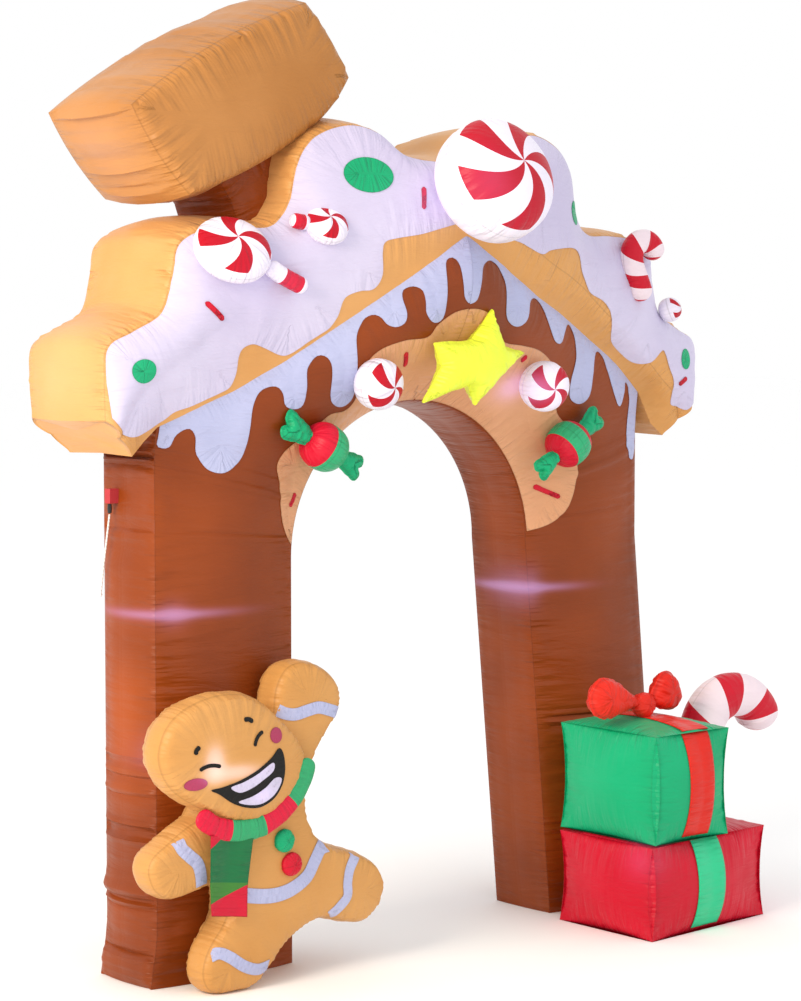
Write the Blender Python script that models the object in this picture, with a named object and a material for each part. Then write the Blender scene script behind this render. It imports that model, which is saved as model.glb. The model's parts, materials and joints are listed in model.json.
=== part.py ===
"""Inflatable candy-house arch as closed solids: metres, front towards -Y, floor at z = 0."""
import math

import bmesh
import bpy
import numpy as np
from mathutils import Matrix
from mathutils.geometry import delaunay_2d_cdt

# Cloth
SHEET_NEAR = 0.0005        # applique starts this far off its base
SHEET_FAR = 0.0025         # and ends here: 2 mm of cloth
SWEET_CUT = 0.0030         # puffed sweets are cut back to this distance from their base
TOP_NEAR, TOP_FAR = 0.0030, 0.0046   # second layer: teeth on the mouth
MEET = 0.0005              # gap where two puffed pieces meet

# Arch body
OPEN_HALF = 0.505          # half width of the walkway
SPRING_Z, CROWN_RISE = 1.30, 0.49
LEG_OUT = 1.03             # outer face of a leg from the middle
LEG_SEAM = 0.137           # half depth at the leg seams
APEX_HALF = 0.40           # half depth where the gable meets the roof at the peak
SPLAY = 0.122              # the right leg stands out by this much at the floor
EAVE_Z = 1.735

# x from the middle, height of the line where the roof sits on the gable
JUNCTION_LEFT = [(0, 2.324), (0.257, 2.158), (0.436, 2.045), (0.611, 1.934), (0.778, 1.843), (1.03, 1.735)]
JUNCTION_RIGHT = [(0, 2.324), (0.205, 2.225), (0.371, 2.142), (0.57, 2.063), (0.862, 1.922), (1.03, 1.80)]

# Roof stations from the peak outwards:
# base x, base half depth, crease x, crease z left, crease half depth, top x, top z, top half depth
ROOF = [
    (0.00, 0.400, 0.00, 2.500, 0.410, 0.000, 2.556, 0.340),
    (0.10, 0.385, 0.12, 2.440, 0.405, 0.190, 2.572, 0.330),
    (0.18, 0.370, 0.21, 2.390, 0.395, 0.290, 2.643, 0.305),
    (0.25, 0.350, 0.29, 2.345, 0.385, 0.400, 2.663, 0.290),
    (0.32, 0.335, 0.36, 2.310, 0.375, 0.520, 2.622, 0.275),
    (0.39, 0.315, 0.43, 2.275, 0.365, 0.583, 2.540, 0.270),
    (0.46, 0.295, 0.50, 2.245, 0.355, 0.610, 2.420, 0.260),
    (0.53, 0.275, 0.58, 2.205, 0.340, 0.675, 2.345, 0.250),
    (0.61, 0.250, 0.65, 2.165, 0.320, 0.790, 2.341, 0.240),
    (0.70, 0.225, 0.73, 2.115, 0.305, 0.910, 2.330, 0.230),
    (0.78, 0.205, 0.80, 2.080, 0.290, 1.000, 2.285, 0.225),
    (0.84, 0.190, 0.863, 2.046, 0.280, 1.023, 2.190, 0.220),
    (0.90, 0.180, 0.92, 2.000, 0.265, 1.061, 2.079, 0.215),
    (0.97, 0.165, 0.98, 1.950, 0.255, 1.160, 2.022, 0.210),
    (1.03, 0.150, 1.06, 1.890, 0.240, 1.247, 1.975, 0.205),
    (1.085, 0.155, 1.14, 1.830, 0.225, 1.256, 1.870, 0.205),
    (1.134, 0.165, 1.19, 1.702, 0.190, 1.250, 1.755, 0.200),
]
EAVE_TIP_Z = [1.692, 1.650]            # base heights of the last two stations
RIGHT_CREASE_DROP = 0.045              # the crease sits lower on the right wing

CHIMNEY_CAP = [(-0.957, 2.432), (-0.449, 2.683), (-0.339, 2.816), (-0.511, 3.037), (-1.166, 2.692)]
CHIMNEY_STACK = [(-0.820, 2.530), (-0.745, 2.420), (-0.690, 2.300), (-0.640, 2.240), (-0.545, 2.300),
                 (-0.535, 2.660)]

ICING_LEFT_EDGE = [
    (-1.238, 1.765), (-1.215, 1.738), (-1.180, 1.712), (-1.140, 1.705), (-1.090, 1.717), (-1.021, 1.749),
    (-0.985, 1.776), (-0.930, 1.786), (-0.872, 1.810), (-0.830, 1.830), (-0.800, 1.850), (-0.790, 1.890),
    (-0.795, 1.942), (-0.785, 1.969), (-0.751, 1.981), (-0.704, 1.968), (-0.634, 1.945), (-0.594, 1.952),
    (-0.545, 1.985), (-0.505, 1.995), (-0.478, 2.022), (-0.456, 2.067), (-0.444, 2.122), (-0.394, 2.144),
    (-0.341, 2.151), (-0.316, 2.192), (-0.326, 2.263), (-0.319, 2.297), (-0.274, 2.310), (-0.185, 2.324),
    (-0.102, 2.345), (-0.004, 2.370)]
ICING_RIGHT_EDGE = [
    (0.004, 2.370), (0.120, 2.330), (0.241, 2.306), (0.286, 2.291), (0.356, 2.269), (0.401, 2.283), (0.510, 2.292),
    (0.552, 2.273), (0.565, 2.216), (0.611, 2.150), (0.687, 2.120), (0.727, 2.093), (0.762, 2.039),
    (0.800, 1.985), (0.851, 1.950), (0.931, 1.905), (0.986, 1.906), (1.022, 1.940), (1.042, 1.944),
    (1.074, 1.894), (1.110, 1.841), (1.120, 1.795), (1.128, 1.756), (1.160, 1.748), (1.200, 1.735),
    (1.232, 1.760)]
GABLE_LEFT_EDGE = [
    (-1.022, 1.700), (-1.022, 1.671), (-0.988, 1.668), (-0.970, 1.708), (-0.931, 1.724), (-0.912, 1.697),
    (-0.904, 1.647), (-0.872, 1.602), (-0.830, 1.585), (-0.795, 1.590), (-0.754, 1.622), (-0.738, 1.671),
    (-0.729, 1.780), (-0.702, 1.835), (-0.656, 1.850), (-0.632, 1.829), (-0.621, 1.791), (-0.590, 1.778),
    (-0.559, 1.789), (-0.553, 1.839), (-0.552, 1.905), (-0.515, 1.945), (-0.478, 1.920), (-0.462, 1.820),
    (-0.430, 1.787), (-0.385, 1.783), (-0.362, 1.810), (-0.379, 1.872), (-0.397, 1.990), (-0.373, 2.048),
    (-0.344, 2.070), (-0.318, 2.064), (-0.297, 2.040), (-0.265, 2.032), (-0.236, 2.046), (-0.230, 2.075),
    (-0.240, 2.120), (-0.232, 2.148), (-0.204, 2.160), (-0.177, 2.150), (-0.168, 2.116), (-0.163, 2.075),
    (-0.133, 2.046), (-0.100, 2.058), (-0.093, 2.116), (-0.088, 2.230), (-0.063, 2.252), (-0.045, 2.230),
    (-0.036, 2.175), (-0.026, 2.125), (-0.003, 2.105)]
GABLE_RIGHT_EDGE = [
    (0.003, 2.105), (0.028, 2.118), (0.042, 2.170), (0.058, 2.225), (0.105, 2.245), (0.150, 2.225),
    (0.178, 2.170), (0.185, 2.075), (0.220, 2.039), (0.264, 2.033), (0.306, 2.057), (0.325, 2.110),
    (0.360, 2.125), (0.400, 2.105), (0.440, 2.040), (0.478, 1.985), (0.520, 1.975), (0.545, 2.010),
    (0.575, 2.038), (0.605, 2.015), (0.620, 1.930), (0.602, 1.851), (0.613, 1.790), (0.664, 1.767),
    (0.712, 1.792), (0.730, 1.870), (0.741, 1.925), (0.765, 1.945), (0.805, 1.920), (0.830, 1.859),
    (0.868, 1.787), (0.900, 1.752), (0.925, 1.790), (0.940, 1.838), (0.962, 1.790), (0.960, 1.640),
    (0.978, 1.575), (1.008, 1.568), (1.022, 1.640), (1.022, 1.740)]
BAND_LEFT_EDGE = [
    (-0.003, 2.090), (-0.055, 2.078), (-0.112, 2.040), (-0.140, 2.000), (-0.225, 1.990), (-0.305, 1.965),
    (-0.350, 1.925), (-0.360, 1.875), (-0.345, 1.800), (-0.370, 1.768), (-0.430, 1.758), (-0.475, 1.722),
    (-0.525, 1.686), (-0.583, 1.645),
    (-0.602, 1.600), (-0.585, 1.550), (-0.575, 1.490), (-0.560, 1.420), (-0.530, 1.365), (-0.509, 1.345)]
BAND_RIGHT_EDGE = [
    (0.509, 1.335), (0.585, 1.357), (0.654, 1.407), (0.689, 1.495), (0.693, 1.570), (0.672, 1.640),
    (0.620, 1.695), (0.565, 1.740), (0.545, 1.800), (0.520, 1.860), (0.470, 1.915), (0.393, 1.953),
    (0.303, 1.969), (0.208, 1.982), (0.165, 2.025), (0.110, 2.070), (0.050, 2.088), (0.003, 2.090)]

STAR = [(0.098, 2.082), (0.137, 1.972), (0.232, 1.947), (0.113, 1.855), (0.026, 1.786), (0.0, 1.842),
        (-0.188, 1.798), (-0.122, 1.908), (-0.140, 1.978), (0.010, 1.995)]
# name, centre x, y, z, radius, half thickness, power, facing x, y, z
ROUND_SWEETS = [
    ("apex_mint", -0.010, -0.545, 2.490, 0.196, 0.145, 2.5, 0.05, -0.90, 0.41),
    ("mint_left", -0.322, -0.352, 1.853, 0.081, 0.070, 2.3, 0.15, -0.97, -0.15),
    ("mint_right", 0.390, -0.352, 1.835, 0.084, 0.070, 2.3, -0.20, -0.97, -0.15),
    ("lollipop_large", -0.853, -0.300, 2.266, 0.122, 0.060, 2.3, -0.15, -0.72, 0.66),
    ("lollipop_small", -0.523, -0.342, 2.345, 0.070, 0.042, 2.2, -0.15, -0.72, 0.66),
    ("roof_mint", 1.085, -0.250, 2.088, 0.042, 0.040, 2.2, 0.55, -0.75, 0.30),
    ("candy_left", -0.470, -0.262, 1.657, 0.076, 0.070, 2.3, 0.0, -1.0, 0.0),
    ("candy_right", 0.586, -0.262, 1.634, 0.076, 0.070, 2.3, 0.0, -1.0, 0.0),
]
# name, where it starts x, z, angle of the fan, length, width, y
TWISTS = [
    ("candy_left_twist_a", -0.518, 1.682, 152, 0.120, 0.085, -0.262),
    ("candy_left_twist_b", -0.425, 1.632, -28, 0.110, 0.075, -0.262),
    ("candy_right_twist_a", 0.630, 1.660, 35, 0.120, 0.080, -0.262),
    ("candy_right_twist_b", 0.542, 1.606, 215, 0.112, 0.070, -0.262),
]
# name, base, x, z, half width, half height
DOTS = [
    ("dot_left", "roof", -1.145, 1.903, 0.042, 0.036),
    ("dot_middle", "roof", -0.370, 2.505, 0.085, 0.055),
    ("dot_upper", "roof", 0.560, 2.410, 0.032, 0.040),
    ("dot_right", "roof", 1.165, 1.915, 0.026, 0.036),
]

FIGURE = [
    (-0.999, 0.551), (-1.045, 0.529), (-1.082, 0.509), (-1.120, 0.485), (-1.154, 0.465), (-1.177, 0.444),
    (-1.188, 0.414), (-1.181, 0.382), (-1.163, 0.350), (-1.130, 0.325), (-1.087, 0.320), (-1.028, 0.330),
    (-0.972, 0.342), (-0.924, 0.337), (-0.898, 0.305), (-0.893, 0.268), (-0.900, 0.234), (-0.923, 0.198),
    (-0.955, 0.160), (-0.978, 0.121), (-0.989, 0.080), (-0.984, 0.045), (-0.965, 0.018), (-0.926, 0.0),
    (-0.874, 0.0), (-0.820, 0.003), (-0.773, 0.026), (-0.743, 0.060), (-0.692, 0.113), (-0.656, 0.140),
    (-0.612, 0.163), (-0.563, 0.178), (-0.522, 0.181), (-0.481, 0.169), (-0.427, 0.154), (-0.373, 0.146),
    (-0.337, 0.159), (-0.301, 0.192), (-0.282, 0.240), (-0.286, 0.281), (-0.309, 0.317), (-0.347, 0.346),
    (-0.393, 0.368), (-0.447, 0.387), (-0.488, 0.400), (-0.529, 0.423), (-0.562, 0.450), (-0.586, 0.485),
    (-0.598, 0.525), (-0.604, 0.571), (-0.597, 0.621), (-0.579, 0.677), (-0.545, 0.731), (-0.508, 0.779),
    (-0.477, 0.818), (-0.460, 0.859), (-0.463, 0.904), (-0.486, 0.938), (-0.522, 0.967), (-0.569, 0.987),
    (-0.617, 0.994), (-0.661, 0.982), (-0.687, 0.957), (-0.703, 0.927), (-0.712, 0.891), (-0.718, 0.840),
    (-0.745, 0.785), (-0.800, 0.735), (-0.870, 0.680), (-0.930, 0.630), (-0.975, 0.590)]
HEAD = [
    (-1.188, 0.762), (-1.174, 0.820), (-1.145, 0.862), (-1.100, 0.894), (-1.047, 0.914), (-0.992, 0.926),
    (-0.935, 0.929), (-0.880, 0.923), (-0.832, 0.907), (-0.793, 0.884), (-0.760, 0.855), (-0.728, 0.825),
    (-0.698, 0.797), (-0.671, 0.767), (-0.652, 0.733), (-0.649, 0.695), (-0.663, 0.652), (-0.689, 0.612),
    (-0.727, 0.576), (-0.775, 0.549), (-0.828, 0.536), (-0.880, 0.534), (-0.930, 0.543), (-0.982, 0.564),
    (-1.040, 0.594), (-1.097, 0.627), (-1.142, 0.662), (-1.174, 0.708)]
COLLAR = [(-1.060, 0.582), (-1.019, 0.549), (-0.977, 0.528), (-0.924, 0.516), (-0.865, 0.513), (-0.806, 0.523),
          (-0.751, 0.549), (-0.708, 0.583), (-0.675, 0.622), (-0.653, 0.665), (-0.641, 0.708)]
# name, middle line x, z pairs, width
FIGURE_ICING = [
    ("icing_arm_raised", [(-0.714, 0.858), (-0.694, 0.846), (-0.658, 0.840), (-0.611, 0.848), (-0.566, 0.853),
                          (-0.518, 0.840), (-0.474, 0.826)], 0.038),
    ("icing_arm_lowered", [(-1.092, 0.498), (-1.084, 0.472), (-1.058, 0.446), (-1.030, 0.417), (-1.012, 0.352)],
     0.040),
    ("icing_belly", [(-0.862, 0.304), (-0.800, 0.293), (-0.740, 0.290), (-0.681, 0.301), (-0.623, 0.331),
                     (-0.588, 0.376), (-0.556, 0.410), (-0.522, 0.416)], 0.046),
    ("icing_leg", [(-0.408, 0.368), (-0.441, 0.330), (-0.454, 0.287), (-0.454, 0.244), (-0.484, 0.213),
                   (-0.516, 0.188)], 0.036),
    ("icing_foot", [(-0.974, 0.126), (-0.945, 0.134), (-0.911, 0.118), (-0.859, 0.083), (-0.805, 0.064),
                    (-0.756, 0.070)], 0.036),
]
# name, x, z, radius
BUTTONS = [("button_green", -0.716, 0.456, 0.036), ("button_red", -0.688, 0.379, 0.037)]
MOUTH = [(-1.030, 0.654), (-0.990, 0.660), (-0.930, 0.674), (-0.864, 0.699), (-0.812, 0.729), (-0.778, 0.756),
         (-0.760, 0.735), (-0.754, 0.685), (-0.764, 0.640), (-0.792, 0.603), (-0.840, 0.582), (-0.895, 0.586),
         (-0.950, 0.606), (-1.000, 0.638)]
TEETH_UPPER = [(-0.962, 0.656), (-0.916, 0.668), (-0.864, 0.687), (-0.806, 0.715), (-0.804, 0.690),
               (-0.847, 0.664), (-0.888, 0.645), (-0.930, 0.637)]
TEETH_LOWER = [(-0.930, 0.608), (-0.880, 0.620), (-0.834, 0.640), (-0.797, 0.666), (-0.770, 0.663),
               (-0.776, 0.638), (-0.800, 0.611), (-0.840, 0.593), (-0.888, 0.594)]
# name, middle line x, z pairs
EYES = [("eye_left", [(-1.074, 0.719), (-1.059, 0.726), (-1.041, 0.730), (-1.021, 0.729), (-1.001, 0.724)]),
        ("eye_right", [(-0.874, 0.772), (-0.870, 0.785), (-0.863, 0.797), (-0.852, 0.807), (-0.839, 0.813)])]
# name, x, z, half width, half height
CHEEKS = [("cheek_left", -1.083, 0.677, 0.038, 0.019), ("cheek_right", -0.786, 0.796, 0.025, 0.024)]

GIFTS = [  # name, x0, x1, y0, y1, z0, z1, bulge, how far the front and back run backwards per metre to the right
    ("gift_red", 0.580, 1.180, -0.680, -0.235, 0.0, 0.312, 0.032, 0.09),
    ("gift_green", 0.583, 0.930, -0.690, -0.235, 0.322, 0.683, 0.032, 0.0),
]
BOW = {  # outlines of the two loops
    "bow_left": [(0.700, 0.775), (0.660, 0.800), (0.610, 0.835), (0.555, 0.858), (0.510, 0.845), (0.484, 0.800),
                 (0.500, 0.752), (0.545, 0.730), (0.600, 0.733), (0.655, 0.748), (0.700, 0.757)],
    "bow_right": [(0.768, 0.772), (0.786, 0.812), (0.812, 0.848), (0.845, 0.857), (0.880, 0.830), (0.898, 0.780),
                  (0.888, 0.742), (0.850, 0.731), (0.806, 0.742), (0.768, 0.758)],
}
GIFT_CANE = [(1.085, 0.270), (1.080, 0.420), (1.072, 0.560), (1.083, 0.640), (1.120, 0.700), (1.180, 0.733),
             (1.250, 0.738), (1.315, 0.715), (1.362, 0.665), (1.385, 0.605)]
ROOF_CANE = [(0.905, 2.120), (0.875, 2.185), (0.848, 2.245), (0.852, 2.295), (0.890, 2.322), (0.935, 2.310),
             (0.965, 2.262)]

COLOURS = {
    "chocolate nylon": (0.42, 0.13, 0.03), "biscuit nylon": (0.80, 0.42, 0.14), "white nylon": (0.85, 0.83, 0.93),
    "red nylon": (0.70, 0.02, 0.04), "green nylon": (0.05, 0.60, 0.30), "yellow nylon": (0.95, 0.85, 0.05),
    "black nylon": (0.02, 0.02, 0.02), "pink nylon": (0.75, 0.15, 0.25), "webbing": (0.60, 0.02, 0.03),
}
bases = {}


def clear_scene():
    for thing in list(bpy.data.objects):
        bpy.data.objects.remove(thing, do_unlink=True)


def paint(colour):
    """The Principled material of that name, made once."""
    found = bpy.data.materials.get(colour)
    if found:
        return found
    made = bpy.data.materials.new(colour)
    made.use_nodes = True
    shader = made.node_tree.nodes["Principled BSDF"]
    shader.inputs["Base Color"].default_value = (*COLOURS[colour], 1)
    shader.inputs["Roughness"].default_value = 0.5
    return made


def solid(name, verts, faces, colour=None):
    """A mesh object with its normals outward; without a colour it is a hidden cutter."""
    mesh = bpy.data.meshes.new(name)
    mesh.from_pydata([tuple(map(float, v)) for v in verts], [], [tuple(map(int, f)) for f in faces])
    work = bmesh.new()
    work.from_mesh(mesh)
    bmesh.ops.recalc_face_normals(work, faces=work.faces)
    if work.calc_volume(signed=True) < 0:
        bmesh.ops.reverse_faces(work, faces=work.faces)
    work.to_mesh(mesh)
    work.free()
    thing = bpy.data.objects.new(name, mesh)
    bpy.context.collection.objects.link(thing)
    if colour:
        mesh.materials.append(paint(colour))
        bases[name] = (np.asarray(verts, float), faces)
    else:
        thing.hide_render = True
        thing.display_type = "WIRE"
    return thing


def loft(rings):
    """Triangles over a row of closed rings, with a fan at each end."""
    rings = np.asarray(rings, float)
    rows, count = rings.shape[:2]
    verts = [*rings.reshape(-1, 3), rings[0].mean(0), rings[-1].mean(0)]
    faces = []
    for row in range(rows - 1):
        for step in range(count):
            a, b = row * count + step, row * count + (step + 1) % count
            faces += [(a, b, b + count), (a, b + count, a + count)]
    for step in range(count):
        after = (step + 1) % count
        faces.append((after, step, rows * count))
        faces.append(((rows - 1) * count + step, (rows - 1) * count + after, rows * count + 1))
    return verts, faces


def grown(base, amount):
    """A hidden copy of a base solid with every face moved outward, for cutting."""
    name = "cut_" + base + "_" + str(round(amount * 10000))
    found = bpy.data.objects.get(name)
    if found:
        return found
    verts, faces = bases[base]
    copy = solid(name, verts, faces)
    mesh = copy.data
    normals = {}
    for face in mesh.polygons:
        for corner in face.vertices:
            normals.setdefault(corner, []).append(np.array(face.normal) * 1.0)
    for index, around in normals.items():
        direction = np.sum(around, axis=0)
        direction /= np.linalg.norm(direction)
        spread = max(0.6, min(float(direction @ n) for n in around))
        mesh.vertices[index].co = np.array(mesh.vertices[index].co) + direction * amount / spread
    return copy


def cut(thing, cutter, how="DIFFERENCE"):
    made = thing.modifiers.new(how.lower(), "BOOLEAN")
    made.operation = how
    made.solver = "EXACT"
    made.object = cutter


def smooth(points, parts, closed=False):
    """Catmull-Rom curve through the points."""
    points = np.asarray(points, float)
    if closed:
        padded = np.vstack([points[-1], points, points[0], points[1]])
    else:
        padded = np.vstack([2 * points[0] - points[1], points, 2 * points[-1] - points[-2]])
    out = []
    for k in range(1, len(padded) - 2):
        a, b, c, d = padded[k - 1:k + 3]
        for t in np.arange(parts) / parts:
            out.append(0.5 * (2 * b + (c - a) * t + (2 * a - 5 * b + 4 * c - d) * t ** 2
                              + (3 * b - a - 3 * c + d) * t ** 3))
    if not closed:
        out.append(padded[-2])
    return np.array(out)


def prism(name, outline, y_front, y_back):
    count = len(outline)
    verts = [(x, y, z) for y in (y_front, y_back) for x, z in outline]
    sides = [(k, (k + 1) % count, (k + 1) % count + count, k + count) for k in range(count)]
    return verts, sides + [tuple(range(count))[::-1], tuple(range(count, 2 * count))]


def applique(name, outline, base, colour, near=SHEET_NEAR, far=SHEET_FAR, y_front=-1.2, y_back=0.0):
    """A cloth sheet on the front of a base: the outline's prism between two grown copies of the base."""
    sheet = solid(name, *prism(name, outline, y_front, y_back), colour)
    cut(sheet, grown(base, far), "INTERSECT")
    cut(sheet, grown(base, near))
    return sheet


def strip(points, width):
    """Outline of a ribbon of the given width along a middle line."""
    line = smooth(points, 2)
    along = np.gradient(line, axis=0)
    side = np.stack([-along[:, 1], along[:, 0]], 1) / np.linalg.norm(along, axis=1)[:, None] * width / 2
    return np.vstack([line + side, (line - side)[::-1]])


def ball(name, centre, radius, thick, power, facing, colour, rows=8, count=16):
    """A puffed disc: an ellipsoid of the given power with its poles along the facing direction."""
    axis = np.array(facing, float) / np.linalg.norm(facing)
    side = np.cross(axis, (0, 0, 1))
    side /= np.linalg.norm(side)
    up = np.cross(side, axis)
    rings = []
    for angle in np.linspace(-math.pi / 2, math.pi / 2, rows + 1)[1:-1]:
        out = radius * math.cos(angle) ** (2 / power)
        height = thick * math.copysign(abs(math.sin(angle)) ** (2 / power), angle)
        turn = np.arange(count) * 2 * math.pi / count
        rings.append(np.array(centre) + axis * height
                     + out * (np.cos(turn)[:, None] * side + np.sin(turn)[:, None] * up))
    verts, faces = loft(rings)
    verts[-2], verts[-1] = np.array(centre) - axis * thick, np.array(centre) + axis * thick
    return solid(name, verts, faces, colour)


def tube(name, path, radius, colour, count=12, ends=(0.25, 0.25), parts=2):
    """A round tube along a smoothed path, its ends rounded off over one radius."""
    path = smooth(path, parts)
    along = np.gradient(path, axis=0)
    along /= np.linalg.norm(along, axis=1)[:, None]
    side = np.cross(along[0], (0.13, 0.97, 0.21))
    rings = []
    turn = np.arange(count) * 2 * math.pi / count
    last = len(path) - 1
    for k, (point, ahead) in enumerate(zip(path, along)):
        side = side - ahead * (side @ ahead)
        side /= np.linalg.norm(side)
        other = np.cross(ahead, side)
        here = radius * (ends[0] if k == 0 else ends[1] if k == last else 1)
        if k in (0, last):
            push = ahead * radius * 0.45 * (-1 if k == 0 else 1)
            near = point + 0.85 * radius * (np.cos(turn)[:, None] * side + np.sin(turn)[:, None] * other) + push / 2
            tip = point + here * (np.cos(turn)[:, None] * side + np.sin(turn)[:, None] * other) + push
            rings += [tip, near] if k == 0 else [near, tip]
        else:
            rings.append(point + here * (np.cos(turn)[:, None] * side + np.sin(turn)[:, None] * other))
    return solid(name, *loft(rings), colour)


def edge_distance(points, outline):
    start, end = outline, np.roll(outline, -1, axis=0)
    span = end - start
    share = ((points[:, None] - start) * span).sum(2) / (span ** 2).sum(1)
    nearest = start + span * np.clip(share, 0, 1)[..., None]
    return np.linalg.norm(points[:, None] - nearest, axis=2).min(1)


def inside(points, outline):
    x, z = points[:, 0][:, None], points[:, 1][:, None]
    start, end = outline, np.roll(outline, -1, axis=0)
    spans = (start[:, 1] > z) != (end[:, 1] > z)
    rise = np.where(end[:, 1] == start[:, 1], 1e-9, end[:, 1] - start[:, 1])
    cross = start[:, 0] + (z - start[:, 1]) / rise * (end[:, 0] - start[:, 0])
    return (spans & (x < cross)).sum(1) % 2 == 1


def puff(name, outline, y_mid, wall, crown, reach, step, colour):
    """Two equal panels sewn to a side strip and filled: flat at the seam, crowned inside."""
    outline = np.asarray(outline, float)
    low, high = outline.min(0), outline.max(0)
    grid = [(x + (row % 2) * step / 2, z) for row, z in enumerate(np.arange(low[1], high[1], step * 0.87))
            for x in np.arange(low[0], high[0], step)]
    grid = np.array(grid)
    grid = grid[inside(grid, outline)]
    grid = grid[edge_distance(grid, outline) > 0.55 * step] if len(grid) else grid
    flat = [tuple(p) for p in outline] + [tuple(p) for p in grid]
    ring = [list(range(len(outline)))]
    out = delaunay_2d_cdt(flat, [], ring, 1, 1e-7)
    flat, faces = np.array([tuple(v) for v in out[0]]), out[2]
    away = np.clip(edge_distance(flat, outline) / reach, 0, 1)
    away[:len(outline)] = 0
    height = wall + crown * (1 - (1 - away) ** 2) ** 0.6
    count = len(flat)
    verts = [(p[0], y_mid - h, p[1]) for p, h in zip(flat, height)]
    verts += [(p[0], y_mid + h, p[1]) for p, h in zip(flat, height)]
    skin = [tuple(f) for f in faces] + [tuple(v + count for v in f[::-1]) for f in faces]
    edge = len(outline)
    for k in range(edge):
        after = (k + 1) % edge
        skin += [(k, after, after + count), (k, after + count, k + count)]
    return solid(name, verts, skin, colour)


def disc_outline(x, z, half_x, half_z, count=16):
    turn = np.arange(count) * 2 * math.pi / count
    return np.stack([x + half_x * np.cos(turn), z + half_z * np.sin(turn)], 1)


def junction(side):
    """x and z of the line where the roof sits on the gable, from the eave to the peak."""
    table = np.array(JUNCTION_LEFT if side < 0 else JUNCTION_RIGHT)
    across = np.array([row[0] for row in ROOF[:15]])[::-1]
    return across * side, np.interp(across, table[:, 0], table[:, 1])


def section(inner, outer, half_in, half_out, front, out_bulge, in_bulge):
    """Closed ring through one station of the arch body: front, outside, back, reveal."""
    inner, outer = np.array(inner), np.array(outer)
    away = (outer - inner) / np.linalg.norm(outer - inner)
    share = np.linspace(0, 1, 6)
    depth = half_in * (1 - share) + half_out * share + 4 * share * (1 - share) * front
    flat = inner + (outer - inner) * share[:, None]
    quarter = np.array([0.25, 0.5, 0.75])
    swell = 4 * quarter * (1 - quarter)
    ring = [(p[0], -d, p[1]) for p, d in zip(flat, depth)]
    ring += [(*(outer + away * out_bulge * s)[[0]], (2 * q - 1) * half_out, (outer + away * out_bulge * s)[1])
             for q, s in zip(quarter, swell)]
    ring += [(p[0], d, p[1]) for p, d in zip(flat[::-1], depth[::-1])]
    ring += [(*(inner - away * in_bulge * s)[[0]], (1 - 2 * q) * half_in, (inner - away * in_bulge * s)[1])
             for q, s in zip(quarter, swell)]
    return ring


def body_half(side):
    """Stations of one side of the arch body from the floor to the peak."""
    rings = []
    for z in (0.0, 0.06, 0.20, 0.50, 0.85, 1.15, 1.30):
        lean = SPLAY * (1 - z / SPRING_Z) if side > 0 else 0.025 * max(0, 1 - z / 0.15)
        foot = min(1.0, 0.35 + z / 0.25)
        inner = (side * OPEN_HALF + max(side, 0) * lean, z)
        outer = (side * (LEG_OUT + lean), z)
        rings.append(section(inner, outer, LEG_SEAM, LEG_SEAM, 0.055 * foot, 0.035 * foot, 0.018 * foot))
    for part, z in ((0.35, 1.44), (0.70, 1.60)):
        angle = math.radians(30 * part)
        inner = (side * OPEN_HALF * math.cos(angle), SPRING_Z + CROWN_RISE * math.sin(angle))
        rings.append(section(inner, (side * LEG_OUT, z), LEG_SEAM, LEG_SEAM, 0.058, 0.03 * (1 - part), 0.018))
    across, heights = junction(side)
    for k, (x, z) in enumerate(zip(across, heights)):
        part = k / (len(across) - 1)
        angle = math.radians(30 + 60 * part)
        inner = (side * OPEN_HALF * math.cos(angle), SPRING_Z + CROWN_RISE * math.sin(angle))
        half = ROOF[14 - k][1]
        rings.append(section(inner, (x, z), LEG_SEAM, max(half, LEG_SEAM), 0.06 + 0.07 * part, 0.0, 0.018))
    return rings


def make_body():
    left, right = body_half(-1), body_half(1)
    verts, faces = loft(left + right[:-1][::-1])
    verts = [(v[0], v[1], max(v[2], 0.0)) for v in verts]
    return solid("arch_body", verts, faces, "chocolate nylon")


def roof_ring(row, side, base_z, lift, outward):
    base_x, base_half, crease_x, crease_z, crease_half, top_x, top_z, top_half = row
    drop = 0 if side < 0 else RIGHT_CREASE_DROP * min(1, base_x / 0.3) * (1 if base_x < 1.1 else 0)
    base = np.array([side * base_x, base_z + lift])
    crease = np.array([side * crease_x, crease_z - drop])
    top = np.array([side * top_x, top_z])
    third = [(crease * (1 - s) + top * s, crease_half * (1 - s) + top_half * s + 0.022) for s in (0.35, 0.7)]
    low = ((base + crease) / 2, (base_half + crease_half) / 2 + 0.006)
    front = [(base, base_half), low, (crease, crease_half), *third, (top, top_half)]
    ring = [(p[0], -d, p[1]) for p, d in front]
    for q in (0.25, 0.5, 0.75):
        p = top + outward * 0.022 * 4 * q * (1 - q)
        ring.append((p[0], (2 * q - 1) * top_half, p[1]))
    ring += [(p[0], d, p[1]) for p, d in front[::-1]]
    ring.append((base[0], 0.0, base[1]))
    return ring


def make_roof():
    rows = []
    for side in (-1, 1):
        heights = list(junction(side)[1][::-1]) + EAVE_TIP_Z
        tops = np.array([(side * row[5], row[6]) for row in ROOF])
        along = np.gradient(tops, axis=0)
        along[0] = (1, 0) if side > 0 else (-1, 0)
        outward = np.stack([-along[:, 1], along[:, 0]], 1) * side
        outward /= np.linalg.norm(outward, axis=1)[:, None]
        half = [roof_ring(row, side, z, 0.0008, out) for row, z, out in zip(ROOF, heights, outward)]
        rows.append(half)
    return solid("roof", *loft(rows[0][::-1] + rows[1][1:]), "biscuit nylon")


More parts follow.
